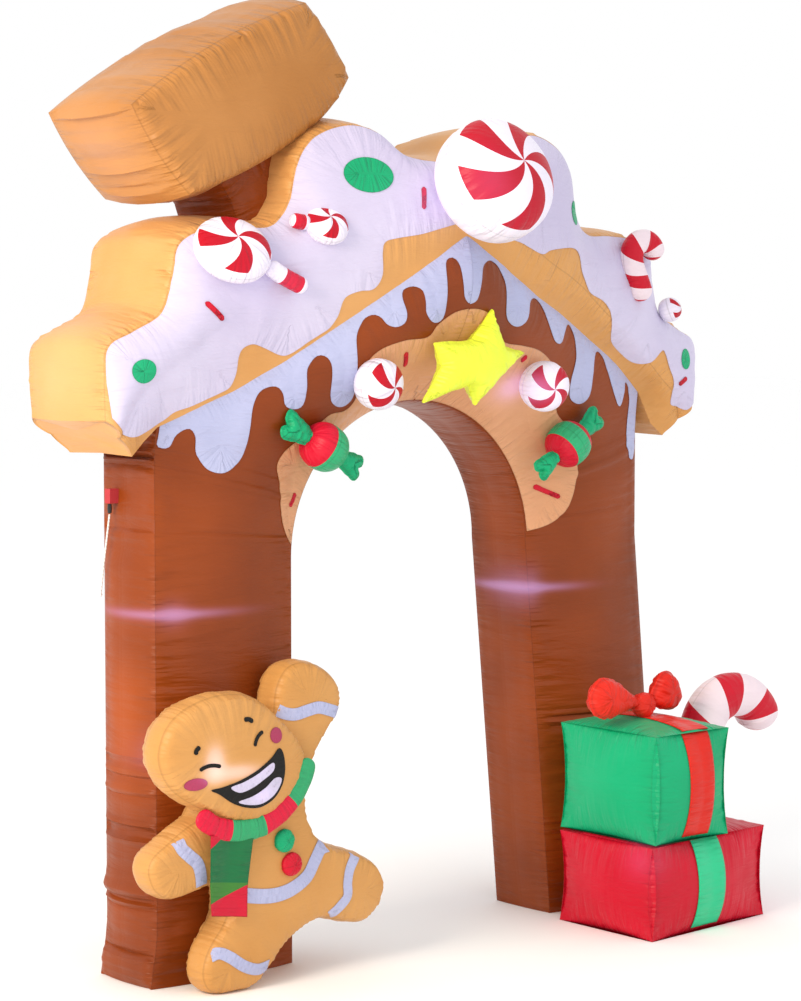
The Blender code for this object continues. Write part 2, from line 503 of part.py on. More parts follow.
def make_chimney():
    cap = smooth_corners(CHIMNEY_CAP, 4)
    cut(puff("chimney_cap", cap, 0.0, 0.225, 0.055, 0.20, 0.11, "biscuit nylon"), grown("roof", MEET))
    stack = smooth_corners(CHIMNEY_STACK, 2)
    thing = puff("chimney_stack", stack, 0.0, 0.150, 0.022, 0.12, 0.12, "chocolate nylon")
    cut(thing, grown("roof", MEET))
    cut(thing, grown("chimney_cap", MEET))


def smooth_corners(points, parts):
    """Split each side and let it swell outward a little, the corners staying put."""
    points = np.asarray(points, float)
    middle = points.mean(0)
    out = []
    for here, after in zip(points, np.roll(points, -1, axis=0)):
        span = after - here
        normal = np.array([span[1], -span[0]]) / np.linalg.norm(span)
        if normal @ (here - middle) < 0:
            normal = -normal
        for t in np.arange(parts) / parts:
            out.append(here + span * t + normal * np.linalg.norm(span) * 0.05 * 4 * t * (1 - t))
    return np.array(out)


def top_edge(side, start, end):
    """The roof's upper outline, 10 mm inside the seam, between two stations."""
    points = []
    for row in ROOF[start:end]:
        top, crease = np.array([row[5], row[6]]), np.array([row[2], row[3]])
        inward = (crease - top) / np.linalg.norm(crease - top)
        points.append((top + inward * 0.010) * (side, 1))
    points[0][0] = side * 0.004 if start == 0 else points[0][0]
    return points


def above_base(points, side):
    """The points, none lower than 12 mm above the line where the roof sits on the gable."""
    across, heights = junction(side)
    order = np.argsort(across)
    floor = np.interp(points[:, 0], across[order], heights[order]) + 0.012
    points[:, 1] = np.where(np.abs(points[:, 0]) < 1.03, np.maximum(points[:, 1], floor), points[:, 1])
    return points


def make_icing():
    left = [*above_base(smooth(ICING_LEFT_EDGE, 2), -1), *top_edge(-1, 0, 16)]
    right = [*above_base(smooth(ICING_RIGHT_EDGE, 2), 1), *top_edge(1, 0, 16)[::-1]]
    applique("roof_icing_left", left, "roof", "white nylon")
    applique("roof_icing_right", right, "roof", "white nylon")
    for side, edge, name in ((-1, GABLE_LEFT_EDGE, "gable_icing_left"), (1, GABLE_RIGHT_EDGE, "gable_icing_right")):
        across, heights = junction(side)
        head = [(np.clip(x, -1.022, 1.022) if k < len(across) - 1 else side * 0.003, z - 0.008)
                for k, (x, z) in enumerate(zip(across, heights))]
        line = [*smooth(edge, 2), *(head[::-1] if side < 0 else head)]
        applique(name, line, "arch_body", "white nylon")
    for side, edge, name in ((-1, BAND_LEFT_EDGE, "arch_band_left"), (1, BAND_RIGHT_EDGE, "arch_band_right")):
        turn = np.radians(np.linspace(6, 89.6, 12))
        arc = np.stack([side * (OPEN_HALF + 0.006) * np.cos(turn), SPRING_Z + (CROWN_RISE + 0.006) * np.sin(turn)], 1)
        line = [*smooth(edge, 2), *(arc if side < 0 else arc[::-1])]
        applique(name, line, "arch_body", "biscuit nylon")


def make_sweets():
    star = smooth_corners(STAR, 2)
    cut(puff("star", star, -0.415, 0.012, 0.062, 0.09, 0.06, "yellow nylon"), grown("arch_body", SWEET_CUT))
    for name, x, y, z, radius, thick, power, *facing in ROUND_SWEETS:
        colour = "red nylon" if name == "candy_left" else "green nylon" if name == "candy_right" else "white nylon"
        fine = name == "apex_mint"
        sweet = ball(name, (x, y, z), radius, thick, power, facing, colour, 10 if fine else 7, 24 if fine else 14)
        base = "arch_body" if z < 1.95 else "roof"
        cut(sweet, grown(base, SWEET_CUT))
    for name, x, z, angle, length, width, y in TWISTS:
        ahead = np.array([math.cos(math.radians(angle)), math.sin(math.radians(angle))])
        side = np.array([-ahead[1], ahead[0]])
        fan = [(0, 0.30), (0.45, 0.72), (0.9, 1.0), (1.0, 0.45), (0.86, 0.05), (1.0, -0.42), (0.92, -1.0),
               (0.45, -0.70), (0, -0.30)]
        outline = [np.array([x, z]) + ahead * length * a + side * width / 2 * b for a, b in fan]
        twist = puff(name, outline, y, 0.006, 0.018, 0.03, 0.03, "green nylon")
        cut(twist, grown(name[:name.index("_twist")], MEET))
        cut(twist, grown("arch_body", SWEET_CUT))
    stick = [(-0.745, -0.345, 2.222), (-0.700, -0.347, 2.196), (-0.640, -0.350, 2.170), (-0.590, -0.352, 2.150)]
    thing = tube("lollipop_large_stick", stick, 0.026, "red nylon", 10)
    cut(thing, grown("roof", SWEET_CUT))
    cut(thing, grown("lollipop_large", MEET))
    stick = [(-0.575, -0.325, 2.352), (-0.610, -0.322, 2.356), (-0.645, -0.318, 2.361)]
    thing = tube("lollipop_small_stick", stick, 0.024, "red nylon", 10)
    cut(thing, grown("roof", SWEET_CUT))
    cut(thing, grown("lollipop_small", MEET))
    path = [(x, -0.300, z) for x, z in ROOF_CANE]
    cut(tube("roof_cane", path, 0.040, "red nylon", 12, parts=1), grown("roof", SWEET_CUT))
    for name, base, x, z, half_x, half_z in DOTS:
        applique(name, disc_outline(x, z, half_x, half_z), base, "green nylon", TOP_NEAR, TOP_FAR)


def make_figure():
    puff("figure_head", HEAD, -0.336, 0.036, 0.058, 0.16, 0.055, "biscuit nylon")
    body = puff("figure_body", FIGURE, -0.276, 0.042, 0.046, 0.085, 0.055, "biscuit nylon")
    cut(body, grown("arch_body", MEET))
    cut(body, grown("figure_head", MEET))
    tail_shape(0.512, 0.262)
    collar = tube("scarf_collar", [(x, -0.402, z) for x, z in COLLAR], 0.032, "red nylon", 12, parts=1)
    for base in ("figure_body", "figure_head", "scarf_tail"):
        cut(collar, grown(base, MEET))
    for name, x, z, radius in BUTTONS:
        button = ball(name, (x, -0.372, z), radius, 0.020, 2.2, (0, -1, 0), name[7:] + " nylon", 6, 14)
        cut(button, grown("figure_body", MEET))
    for name, line, width in FIGURE_ICING:
        applique(name, strip(line, width), "figure_body", "white nylon", y_back=-0.276)
    applique("mouth", MOUTH, "figure_head", "black nylon", y_back=-0.336)
    applique("teeth_upper", TEETH_UPPER, "figure_head", "white nylon", TOP_NEAR, TOP_FAR, y_back=-0.336)
    applique("teeth_lower", TEETH_LOWER, "figure_head", "white nylon", TOP_NEAR, TOP_FAR, y_back=-0.336)
    for name, line in EYES:
        applique(name, strip(line, 0.012), "figure_head", "black nylon", y_back=-0.336)
    for name, x, z, half_x, half_z in CHEEKS:
        applique(name, disc_outline(x, z, half_x, half_z, 14), "figure_head", "pink nylon", y_back=-0.336)


def tail_shape(top, bottom):
    """The hanging scarf end: a 2.5 mm sheet that leans on the belly."""
    front, back = [], []
    for z in np.linspace(top, bottom, 6):
        share = (top - z) / (top - bottom)
        for across in np.linspace(0, 1, 5):
            x = -1.020 + 0.018 * share + (0.160 - 0.028 * share) * across
            y = -0.3995 + 0.020 * min(1, share * 1.6) - 0.003 * math.cos(across * 2 * math.pi)
            front.append((x, y - 0.0025, z - 0.020 * across))
            back.append((x, y, z - 0.020 * across))
    faces, size = [], 30
    for row in range(5):
        for step in range(4):
            a = row * 5 + step
            faces += [(a, a + 1, a + 6), (a, a + 6, a + 5)]
            faces += [(a + size + 1, a + size, a + size + 6), (a + size, a + size + 5, a + size + 6)]
    rim = [*range(5), *range(9, 30, 5), *range(28, 24, -1), *range(20, 0, -5)]
    for here, after in zip(rim, rim[1:] + rim[:1]):
        faces += [(here, here + size, after + size), (here, after + size, after)]
    return solid("scarf_tail", front + back, faces, "red nylon")


def padded_box(name, x0, x1, y0, y1, z0, z1, bulge, turn, colour, cells=5):
    """A sewn box full of air: flat underneath, its other faces crowned, its edges drawn in."""
    size, low = np.array([x1 - x0, y1 - y0, z1 - z0]), np.array([x0, y0, z0])
    index, verts, faces = {}, [], []

    def corner(key):
        if key not in index:
            unit = np.array(key) / cells
            swell = 4 * unit * (1 - unit)
            point = low + size * unit
            for axis in range(3):
                other = [a for a in range(3) if a != axis]
                lift = bulge * (swell[other[0]] * swell[other[1]]) ** 0.7
                draw = 0.7 * bulge * (swell[other[0]] * (1 - swell[other[1]]) + swell[other[1]] * (1 - swell[other[0]]))
                if axis == 2:
                    draw = 0
                if key[axis] == cells:
                    point[axis] += lift - draw
                if key[axis] == 0 and axis != 2:
                    point[axis] -= lift - draw
            point[1] += turn * (point[0] - x0)
            index[key] = len(verts)
            verts.append(point)
        return index[key]

    for axis in range(3):
        for level in (0, cells):
            for a in range(cells):
                for b in range(cells):
                    square = []
                    for da, db in ((0, 0), (1, 0), (1, 1), (0, 1)):
                        key = [a + da, b + db]
                        key.insert(axis, level)
                        square.append(corner(tuple(key)))
                    flip = square if (level == 0) != (axis == 1) else square[::-1]
                    faces += [(flip[0], flip[2], flip[1]), (flip[0], flip[3], flip[2])]
    return solid(name, verts, faces, colour)


def box_prism(name, x0, x1, y0, y1, z0, z1, colour=None):
    verts = [(x, y, z) for x in (x0, x1) for y in (y0, y1) for z in (z0, z1)]
    faces = [(0, 1, 3, 2), (4, 6, 7, 5), (0, 4, 5, 1), (2, 3, 7, 6), (0, 2, 6, 4), (1, 5, 7, 3)]
    return solid(name, verts, faces, colour)


def make_gifts():
    colours = {"gift_red": "red nylon", "gift_green": "green nylon"}
    for row in GIFTS:
        box = padded_box(*row, colours[row[0]])
        cut(box, grown("arch_body", MEET))
        if row[0] == "gift_green":
            cut(box, grown("gift_red", SWEET_CUT))
    # strips over the front and top of each box
    band = box_prism("gift_red_band", 0.790, 0.930, -0.9, -0.30, 0.012, 0.5, "green nylon")
    cut(band, grown("gift_red", SHEET_FAR), "INTERSECT")
    cut(band, grown("gift_red", SHEET_NEAR))
    band = box_prism("gift_green_band", 0.715, 0.837, -0.9, -0.26, 0.334, 0.9, "red nylon")
    cut(band, grown("gift_green", SHEET_FAR), "INTERSECT")
    cut(band, grown("gift_green", SHEET_NEAR))
    path = [(x, -0.420, z) for x, z in GIFT_CANE]
    cane = tube("gift_cane", path, 0.077, "red nylon", 14, ends=(1.0, 0.35), parts=1)
    for base in ("gift_red", "gift_green"):
        cut(cane, grown(base, MEET))
    knot = ball("bow_knot", (0.733, -0.480, 0.754), 0.044, 0.036, 2.3, (0, -1, 0), "red nylon", 7, 12)
    cut(knot, grown("gift_green", SWEET_CUT))
    for name, outline in BOW.items():
        loop = puff(name, outline, -0.480, 0.008, 0.034, 0.045, 0.035, "red nylon")
        cut(loop, grown("bow_knot", MEET))
        cut(loop, grown("gift_green", SWEET_CUT))


def make_tether():
    tab = box_prism("tether_tab", -1.076, -1.030, 0.036, 0.064, 1.490, 1.535, "webbing")
    cut(tab, grown("arch_body", MEET))
    tube("tether_toggle", [(-1.068, 0.050, 1.4861), (-1.068, 0.050, 1.4741), (-1.068, 0.050, 1.4621)],
         0.0075, "black nylon", 8, parts=1)
    path = [(-1.0685, 0.0500, 1.4567), (-1.0710, 0.0540, 1.4200), (-1.0730, 0.0640, 1.3600),
            (-1.0740, 0.0760, 1.3000), (-1.0745, 0.0860, 1.2450), (-1.0750, 0.0930, 1.2000)]
    tube("tether_cord", path, 0.0030, "white nylon", 8, ends=(0.9, 0.9), parts=2)


def centre_on_floor():
    """Move everything so that the middle of the bounding box, without the cord, stands at the origin."""
    bpy.context.view_layer.update()
    graph = bpy.context.evaluated_depsgraph_get()
    low, high = np.full(3, 9.0), np.full(3, -9.0)
    for thing in bpy.context.scene.objects:
        if thing.hide_render or thing.name == "tether_cord":
            continue
        shape = thing.evaluated_get(graph).to_mesh()
        points = np.array([v.co[:] for v in shape.vertices])
        low, high = np.minimum(low, points.min(0)), np.maximum(high, points.max(0))
    move = Matrix.Translation((-(low[0] + high[0]) / 2, -(low[1] + high[1]) / 2, -low[2]))
    for thing in bpy.context.scene.objects:
        thing.data.transform(move)
    print("moved by", [round(v, 4) for v in move.translation], "size", [round(float(v), 4) for v in high - low])


clear_scene()
make_body()
make_roof()
make_chimney()
make_icing()
make_sweets()
make_figure()
make_gifts()
make_tether()
centre_on_floor()
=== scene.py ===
# %% [markdown]
# # An air-filled candy-house arch
# The real thing is sewn from thin nylon taffeta and kept up by a small blower. Every form on it is a bag of
# air: flat panels cut to an outline, joined by a side strip, and pushed out by pressure until the seams pull
# small folds into the cloth. So this lesson makes each form as a smooth inflated surface in numpy and adds
# the folds along its seams, and the cloth's own weave and sheen come from the materials.

# %% Load the fixed frame
import json
import math

import bpy
import numpy as np
from mathutils.geometry import delaunay_2d_cdt
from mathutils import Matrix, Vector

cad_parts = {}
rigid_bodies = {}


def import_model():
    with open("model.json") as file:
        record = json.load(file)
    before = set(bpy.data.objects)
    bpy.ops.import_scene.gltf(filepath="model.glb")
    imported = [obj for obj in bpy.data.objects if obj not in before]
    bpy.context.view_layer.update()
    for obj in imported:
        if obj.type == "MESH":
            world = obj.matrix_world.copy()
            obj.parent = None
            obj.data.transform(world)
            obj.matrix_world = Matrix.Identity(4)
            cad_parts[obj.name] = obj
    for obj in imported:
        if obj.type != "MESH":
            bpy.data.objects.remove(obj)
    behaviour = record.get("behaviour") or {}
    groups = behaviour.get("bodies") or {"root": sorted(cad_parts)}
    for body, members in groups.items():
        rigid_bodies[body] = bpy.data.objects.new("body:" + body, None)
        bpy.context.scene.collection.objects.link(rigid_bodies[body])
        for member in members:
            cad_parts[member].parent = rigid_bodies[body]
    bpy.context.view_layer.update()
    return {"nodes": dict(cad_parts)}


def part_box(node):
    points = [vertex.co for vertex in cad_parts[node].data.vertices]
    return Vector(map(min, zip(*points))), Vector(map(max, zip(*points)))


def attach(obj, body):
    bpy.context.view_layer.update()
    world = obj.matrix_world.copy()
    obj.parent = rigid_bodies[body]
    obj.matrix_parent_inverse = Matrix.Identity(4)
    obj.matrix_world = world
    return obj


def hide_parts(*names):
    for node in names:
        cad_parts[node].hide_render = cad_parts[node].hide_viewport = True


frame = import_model()
roof_low, roof_high = (np.array(corner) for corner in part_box("roof"))
# The roof is symmetric, so its middle is the arch's own centre line; every table below counts from there.
ORIGIN = np.array([(roof_low[0] + roof_high[0]) / 2, (roof_low[1] + roof_high[1]) / 2, 0.0])
print("pieces in the frame:", len(frame["nodes"]), "arch centre:", ORIGIN.round(4))

# %% [markdown]
# ## Camera, light and floor
# The photograph was taken from the left, a little above the middle, from about seven metres away. A camera
# fit on the corners of the legs, roof and gifts gave its place. The light is a wide soft studio light from
# the front left with a weaker one from the right, over a pale floor.

# %% Camera
turn_z, tilt = math.radians(-40.15), math.radians(3.90)
camera_data = bpy.data.cameras.new("camera")
camera_data.sensor_fit = "AUTO"
camera_data.sensor_width = 36.0
camera_data.lens = 36.0 * 2742.0 / 1001.0
camera_data.clip_end = 100.0
camera = bpy.data.objects.new("camera", camera_data)
bpy.context.collection.objects.link(camera)
camera.location = np.array([-5.826, -6.983, 2.0744]) + ORIGIN
camera.rotation_euler = (math.pi / 2 - tilt, 0.0, turn_z)
bpy.context.scene.camera = camera
print("lens", round(camera_data.lens, 1), "mm at", [round(v, 2) for v in camera.location])


# %% Colours and nodes
def linear(code):
    """The linear RGBA of an sRGB hex colour."""
    parts = np.array([int(code[k:k + 2], 16) / 255 for k in (1, 3, 5)])
    parts = np.where(parts <= 0.04045, parts / 12.92, ((parts + 0.055) / 1.055) ** 2.4)
    return (*parts.tolist(), 1.0)


def add(tree, kind, sockets=(), give=0, **settings):
    """Adds one shader node and returns its output give. sockets maps the number or name of an input to its
    value or to the output that feeds it; the other settings are the node's own properties."""
    made = tree.nodes.new("ShaderNode" + kind)
    for name, value in settings.items():
        setattr(made, name, value)
    for name, value in dict(sockets).items():
        if isinstance(value, bpy.types.NodeSocket):
            tree.links.new(value, made.inputs[name])
        else:
            made.inputs[name].default_value = value
    return made.outputs[give]


# %% Floor and light
FLOOR_REACH = 60
floor_mesh = bpy.data.meshes.new("floor")
floor_corners = [(x * FLOOR_REACH, y * FLOOR_REACH, -0.001) for x, y in ((-1, -1), (1, -1), (1, 1), (-1, 1))]
floor_mesh.from_pydata(floor_corners, [], [(0, 1, 2, 3)])
floor = bpy.data.objects.new("floor", floor_mesh)
bpy.context.collection.objects.link(floor)
floor_paint = bpy.data.materials.new("pale studio floor")
floor_paint.use_nodes = True
floor_shader = floor_paint.node_tree.nodes["Principled BSDF"]
floor_shader.inputs["Base Color"].default_value = linear("#FFFFFF")
floor_shader.inputs["Roughness"].default_value = 0.9
floor_mesh.materials.append(floor_paint)

world = bpy.data.worlds.new("studio")
bpy.context.scene.world = world
world.use_nodes = True
world.node_tree.nodes["Background"].inputs["Color"].default_value = linear("#FFFFFF")
world.node_tree.nodes["Background"].inputs["Strength"].default_value = 1.0
bpy.context.scene.view_settings.view_transform = "Standard"

# name, place, what it shines at, side in metres, watts, colour
for name, place, aim, size, power, colour in (("key", (-7.0, -1.5, 4.2), (0, 0, 1.4), 3.0, 400, "#FFF2DC"),
                                              ("fill", (1.5, -7.5, 3.4), (0, 0, 1.2), 3.5, 30, "#F6F8FF")):
    lamp = bpy.data.lights.new(name, "AREA")
    lamp.shape, lamp.size, lamp.energy = "SQUARE", size, power
    lamp.color = linear(colour)[:3]
    holder = bpy.data.objects.new(name, lamp)
    bpy.context.collection.objects.link(holder)
    way = np.array(aim, float) - place
    way /= np.linalg.norm(way)
    holder.location = place
    holder.rotation_euler = (math.acos(-way[2]), 0.0, math.atan2(-way[0], way[1]))

# %% [markdown]
# ## The cloth
# The cloth is nylon taffeta: a plain weave of flat threads, calendered so that it has a satin sheen and
# creases easily. Three things make it look real here. Where two panels are sewn, the thread pulls the cloth
# into short folds that stand square to the seam and fade within a few centimetres. Between the seams it
# keeps long soft creases. And small lamps inside shine through, so pale cloth glows and a lamp near the skin
# leaves a violet streak along the threads; this light is painted into the cloth as a glow by place. Each form
# stores in a UV map "seam" how far each point lies along its seam and away from it, both in metres, so one
# material can draw the stitches with painted shade in the seam, and the folds, on every form.

# %% Painted glow where lamps inside the chambers would shine through
# Spots of painted light: emission that stands in for lamps shining through the cloth. Place x, y, z from the
# arch centre; width along x, y and z; strength. In order: the left leg, the right leg, the gable, the
# figure's mouth and belly, the upper gift, and the left end of the roof.
PAINTED_GLOW_SPOTS = [
    (-0.960, -0.10, 1.155, 0.30, 0.30, 0.022, 0.26), (-0.975, -0.10, 1.155, 0.07, 0.30, 0.060, 0.16),
    (0.570, -0.08, 1.140, 0.24, 0.30, 0.022, 0.26), (0.525, -0.08, 1.140, 0.06, 0.20, 0.100, 0.20),
    (-0.74, -0.28, 2.160, 0.16, 0.40, 0.12, 0.10), (-0.13, -0.36, 2.400, 0.20, 0.40, 0.14, 0.14),
    (0.33, -0.30, 1.830, 0.09, 0.30, 0.07, 0.30), (-0.14, -0.62, 2.500, 0.10, 0.30, 0.12, 0.10),
    (-1.02, -0.42, 0.735, 0.045, 0.30, 0.070, 0.42), (-0.95, -0.42, 0.700, 0.13, 0.30, 0.032, 0.34),
    (0.60, -0.62, 0.260, 0.10, 0.10, 0.09, 0.10), (-0.84, -0.44, 0.620, 0.045, 0.30, 0.030, 0.25),
    (-1.26, 0.00, 1.900, 0.16, 0.30, 0.30, 0.16), (-1.15, 0.00, 2.560, 0.16, 0.30, 0.22, 0.12),
]
# painted light in the cloth's own colour: emission that brightens the left leg's outer side and the right
# reveal
PAINTED_WARM_GLOW = [(-1.12, 0.00, 0.780, 0.12, 0.20, 0.34, 0.90), (-1.12, 0.00, 0.220, 0.12, 0.20, 0.12, 0.40),
              (0.52, 0.00, 1.500, 0.10, 0.12, 0.25, 0.35)]


def painted_glow(tree, place, glow_spots):
    """Painted light, not a lamp: sum over the spots of strength times e to the minus 1.6 times the squared
    distance in spot widths.
    """
    total = 0.0
    for lamp in glow_spots:
        middle, size, strength = np.array(lamp[:3]) + ORIGIN, lamp[3:6], lamp[6]
        away = add(tree, "VectorMath", {0: place, 1: tuple(middle)}, operation="SUBTRACT")
        away = add(tree, "VectorMath", {0: away, 1: size}, operation="DIVIDE")
        far = add(tree, "VectorMath", {0: away, 1: away}, "Value", operation="DOT_PRODUCT")
        fade = add(tree, "Math", {0: far, 1: -1.6}, operation="MULTIPLY")
        bell = add(tree, "Math", {0: fade}, operation="EXPONENT")
        total = add(tree, "Math", {0: bell, 1: strength, 2: total}, operation="MULTIPLY_ADD")
    return total


# %% Nylon taffeta
# metres from a seam: where its dark line of stitches and painted shade starts to fade and where it ends, and
# how far the folds reach
SEAM_SHADE_LINE = (0.0006, 0.0034)
NEAR_REACH, FAR_REACH = 0.075, 0.20


def taffeta(name, slot, look, glow=0.05, gather=1.0, stitch_and_shade=0.80, light="#D9B8FF"):
    """Nylon taffeta. look is a pair of close tones, or a function of the tree and the two parts of the UV
    map "own" that returns a colour. gather scales the folds at the seams; stitch is the tone of the seam
    line, which draws the stitches and painted shade in the seam; glow is painted light through the cloth in
    its own colour, which also lifts its shade; and light is the colour of the painted glow near a glow spot."""
    made = bpy.data.materials.new(name)
    made.use_nodes = True
    tree = made.node_tree
    shader = tree.nodes["Principled BSDF"]
    place = add(tree, "TexCoord", give="Object")
    if callable(look):
        own = add(tree, "UVMap", uv_map="own")
        base = look(tree, add(tree, "SeparateXYZ", {0: own}), add(tree, "SeparateXYZ", {0: own}, 1))
    else:
        cloud = add(tree, "TexNoise", {"Vector": place, "Scale": 2.3, "Detail": 3.0})
        cloud = add(tree, "MapRange", {0: cloud, 1: 0.35, 2: 0.65})
        base = add(tree, "Mix", {0: cloud, 6: linear(look[0]), 7: linear(look[1])}, 2, data_type="RGBA")
    # a darker line where the panels are sewn, by the distance from the nearest seam: the stitches, and
    # painted shade in the seam
    seam = add(tree, "UVMap", uv_map="seam")
    gap = add(tree, "SeparateXYZ", {0: seam}, 1)
    line = add(tree, "MapRange", {0: gap, 1: SEAM_SHADE_LINE[0], 2: SEAM_SHADE_LINE[1], 3: stitch_and_shade, 4: 1.0})
    base = add(tree, "Mix", {0: 1.0, 6: base, 7: line}, 2, data_type="RGBA", blend_type="MULTIPLY")
    # folds 14 mm apart that stand square to the seam, and wider ones that reach further
    folds = 0.0
    for reach, stretch, detail, share in ((NEAR_REACH, (70.0, 7.0, 1.0), 1.5, 1.0),
                                          (FAR_REACH, (24.0, 2.6, 1.0), 2.0, 1.8)):
        fade_out = add(tree, "MapRange", {0: gap, 1: 0.0, 2: reach, 3: share, 4: 0.0},
                       interpolation_type="SMOOTHERSTEP")
        noise = add(tree, "Mapping", {0: seam, 3: stretch})
        noise = add(tree, "TexNoise", {"Vector": noise, "Scale": 1.0, "Detail": detail})
        folds = add(tree, "Math", {0: noise, 1: fade_out, 2: folds}, operation="MULTIPLY_ADD")
    # long level creases, and the weave, drawn at 4 mm so that it shows at all
    level = add(tree, "Mapping", {0: place, 3: (2.2, 2.2, 13.0)})
    level = add(tree, "TexNoise",
                {"Vector": level, "Scale": 1.6, "Detail": 5.0, "Roughness": 0.55, "Distortion": 0.6})
    threads = [add(tree, "TexWave", {"Vector": place, "Scale": 80.0, "Distortion": 0.3}, "Fac",
                   bands_direction=way) for way in ("X", "Z")]
    weave = add(tree, "Math", {0: threads[0], 1: threads[1]}, operation="MULTIPLY")
    normal = add(tree, "Bump", {"Height": level, "Strength": 0.35, "Distance": 0.020})
    normal = add(tree, "Bump",
                 {"Height": folds, "Normal": normal, "Strength": 0.95 * gather, "Distance": 0.010})
    normal = add(tree, "Bump", {"Height": weave, "Normal": normal, "Strength": 0.10, "Distance": 0.0006})
    # painted light through the cloth, as emission: a little of its own colour everywhere, which lifts
    # the shade, and the lamp's colour near a glow spot
    bright = painted_glow(tree, place, PAINTED_GLOW_SPOTS)
    near = add(tree, "MapRange", {0: bright, 1: 0.0, 2: 0.25})
    through = add(tree, "Mix", {0: near, 6: base, 7: linear(light)}, 2, data_type="RGBA")
    power = add(tree, "Math", {0: bright, 1: glow}, operation="ADD")
    power = add(tree, "Math", {0: power, 1: painted_glow(tree, place, PAINTED_WARM_GLOW)}, operation="ADD")
    for socket, value in (("Base Color", base), ("Normal", normal), ("Emission Color", through),
                          ("Emission Strength", power)):
        tree.links.new(value, shader.inputs[socket])
    for socket, value in (("Roughness", 0.40), ("IOR", 1.53), ("Specular IOR Level", 0.22),
                          ("Sheen Weight", 0.03), ("Sheen Roughness", 0.45)):
        shader.inputs[socket].default_value = value
    return made


# word, slot, the two tones; then, where not the usual ones, painted glow, seam folds, tone of the seam line
# of stitches and painted shade, colour of the painted lamp glow
CLOTHS = [
    ("brown", "chocolate_nylon", ("#8C3D0C", "#7A3308")),
    ("biscuit", "biscuit_nylon", ("#B67C42", "#AA7036"), 0.05, 1.0, 0.80, "#F6E6F4"),
    ("light biscuit", "biscuit_nylon", ("#D69E60", "#CC9252"), 0.06, 1.2, 0.80, "#FFF0D8"),
    ("pale biscuit", "biscuit_nylon", ("#CC9658", "#C28A4A"), 0.08, 0.5, 0.80, "#F6E6F4"),
    ("peach", "biscuit_nylon", ("#D39C76", "#C99068"), 0.10),
    ("white", "white_nylon", ("#CDC6DE", "#C1B9D4"), 0.05, 0.6, 0.93),
    # a darker, bluer copy of the white cloth, as painted shade: the gable's icing under the roof and the
    # figure's icing
    ("bluish white", "white_nylon", ("#B2B6D6", "#A8ACCE"), 0.05, 0.6, 0.93),
    ("red", "red_nylon", ("#CE0C2E", "#BC0824"), 0.08),
    ("bright red", "red_nylon", ("#DC2A18", "#CC2012"), 0.10),
    ("green", "green_nylon", ("#0CA872", "#089A66"), 0.08),
    ("bright green", "green_nylon", ("#34C690", "#28B880"), 0.14),
    ("yellow", "yellow_nylon", ("#DCE848", "#D2DE34"), 0.20, 0.8, 0.95),
    ("black", "black_nylon", ("#0D0B09", "#080706"), 0.0, 0.2, 0.80, "#000000"),
    ("pink", "pink_nylon", ("#A83A5C", "#A03456"), 0.03, 0.2),
]
cloth = {word: taffeta(word + " nylon taffeta", *rest) for word, *rest in CLOTHS}
print("cloths:", sorted(cloth))

# %% [markdown]
# ## Tools for inflated forms
# Three ways of making a form cover the whole arch. A **loft** carries a closed section through a row of
# stations: legs, gable, roof and tubes. A **cushion** is two equal panels on a side strip; under pressure a
# panel takes the shape of a soap film that is pushed from behind, so its height comes from solving that
# equation on a grid. A **sheet** is flat cloth laid on another form: it is cut to its outline and then
# pressed onto the form from the front.


# %% Curves and noise
def curve(points, count, closed=False):
    """Catmull-Rom curve: each stretch is a cubic through its two points with the slopes of their neighbours.
    Returns count rows, evenly spaced in the parameter."""
    points = np.asarray(points, float)
    last = len(points) if closed else len(points) - 1
    where = np.linspace(0, last, count, endpoint=not closed)
    step = np.minimum(where.astype(int), last - 1)
    t = (where - step)[:, None]
    four = step + np.arange(-1, 3)[:, None]
    a, b, c, d = points[four % len(points) if closed else np.clip(four, 0, len(points) - 1)]
    return 0.5 * (2 * b + (c - a) * t + (2 * a - 5 * b + 4 * c - d) * t ** 2
                  + (3 * b - a - 3 * c + d) * t ** 3)


def ripple(along, pitch, seed):
    """Uneven waves of about the given pitch, from -1 to 1: random heights half a pitch apart, eased
    between."""
    along = np.asarray(along, float) / pitch * 2
    low = math.floor(along.min()) - 1
    heights = np.random.default_rng(seed).uniform(-1, 1, int(along.max() - low) + 4)
    cell = np.floor(along).astype(int)
    t = along - cell
    t = t * t * (3 - 2 * t)
    return heights[cell - low] * (1 - t) + heights[cell - low + 1] * t


def eased(count):
    """count values from 0 to 1 that crowd at both ends, as half a cosine wave does."""
    return (1 - np.cos(np.linspace(0, np.pi, count))) / 2


def distance_along(line):
    """Length of the line from its start to each of its points."""
    return np.concatenate([[0], np.cumsum(np.linalg.norm(np.diff(line, axis=0), axis=1))])


def unit_rows(vectors):
    """Each row divided by its length."""
    return vectors / np.linalg.norm(vectors, axis=1)[:, None]


def fade(gap, reach, start):
    """Strength of a gather: zero at the seam, full from start on, and less by a factor e for each reach."""
    return np.exp(-gap / reach) * np.minimum(1, gap / start)


def grid_quads(rows, count):
    """Quads of a grid of rows by count points that are numbered row by row."""
    row, step = np.meshgrid(np.arange(rows - 1), np.arange(count - 1), indexing="ij")
    at = row * count + step
    return np.stack([at, at + count, at + count + 1, at + 1], -1).reshape(-1, 4)


def smooth_finish(mesh, sharp):
    """Smooth shading, with a hard edge where two faces meet at more than sharp degrees, if that is given."""
    mesh.polygons.foreach_set("use_smooth", np.ones(len(mesh.polygons), bool))
    if sharp:
        mesh.set_sharp_from_angle(angle=math.radians(sharp))


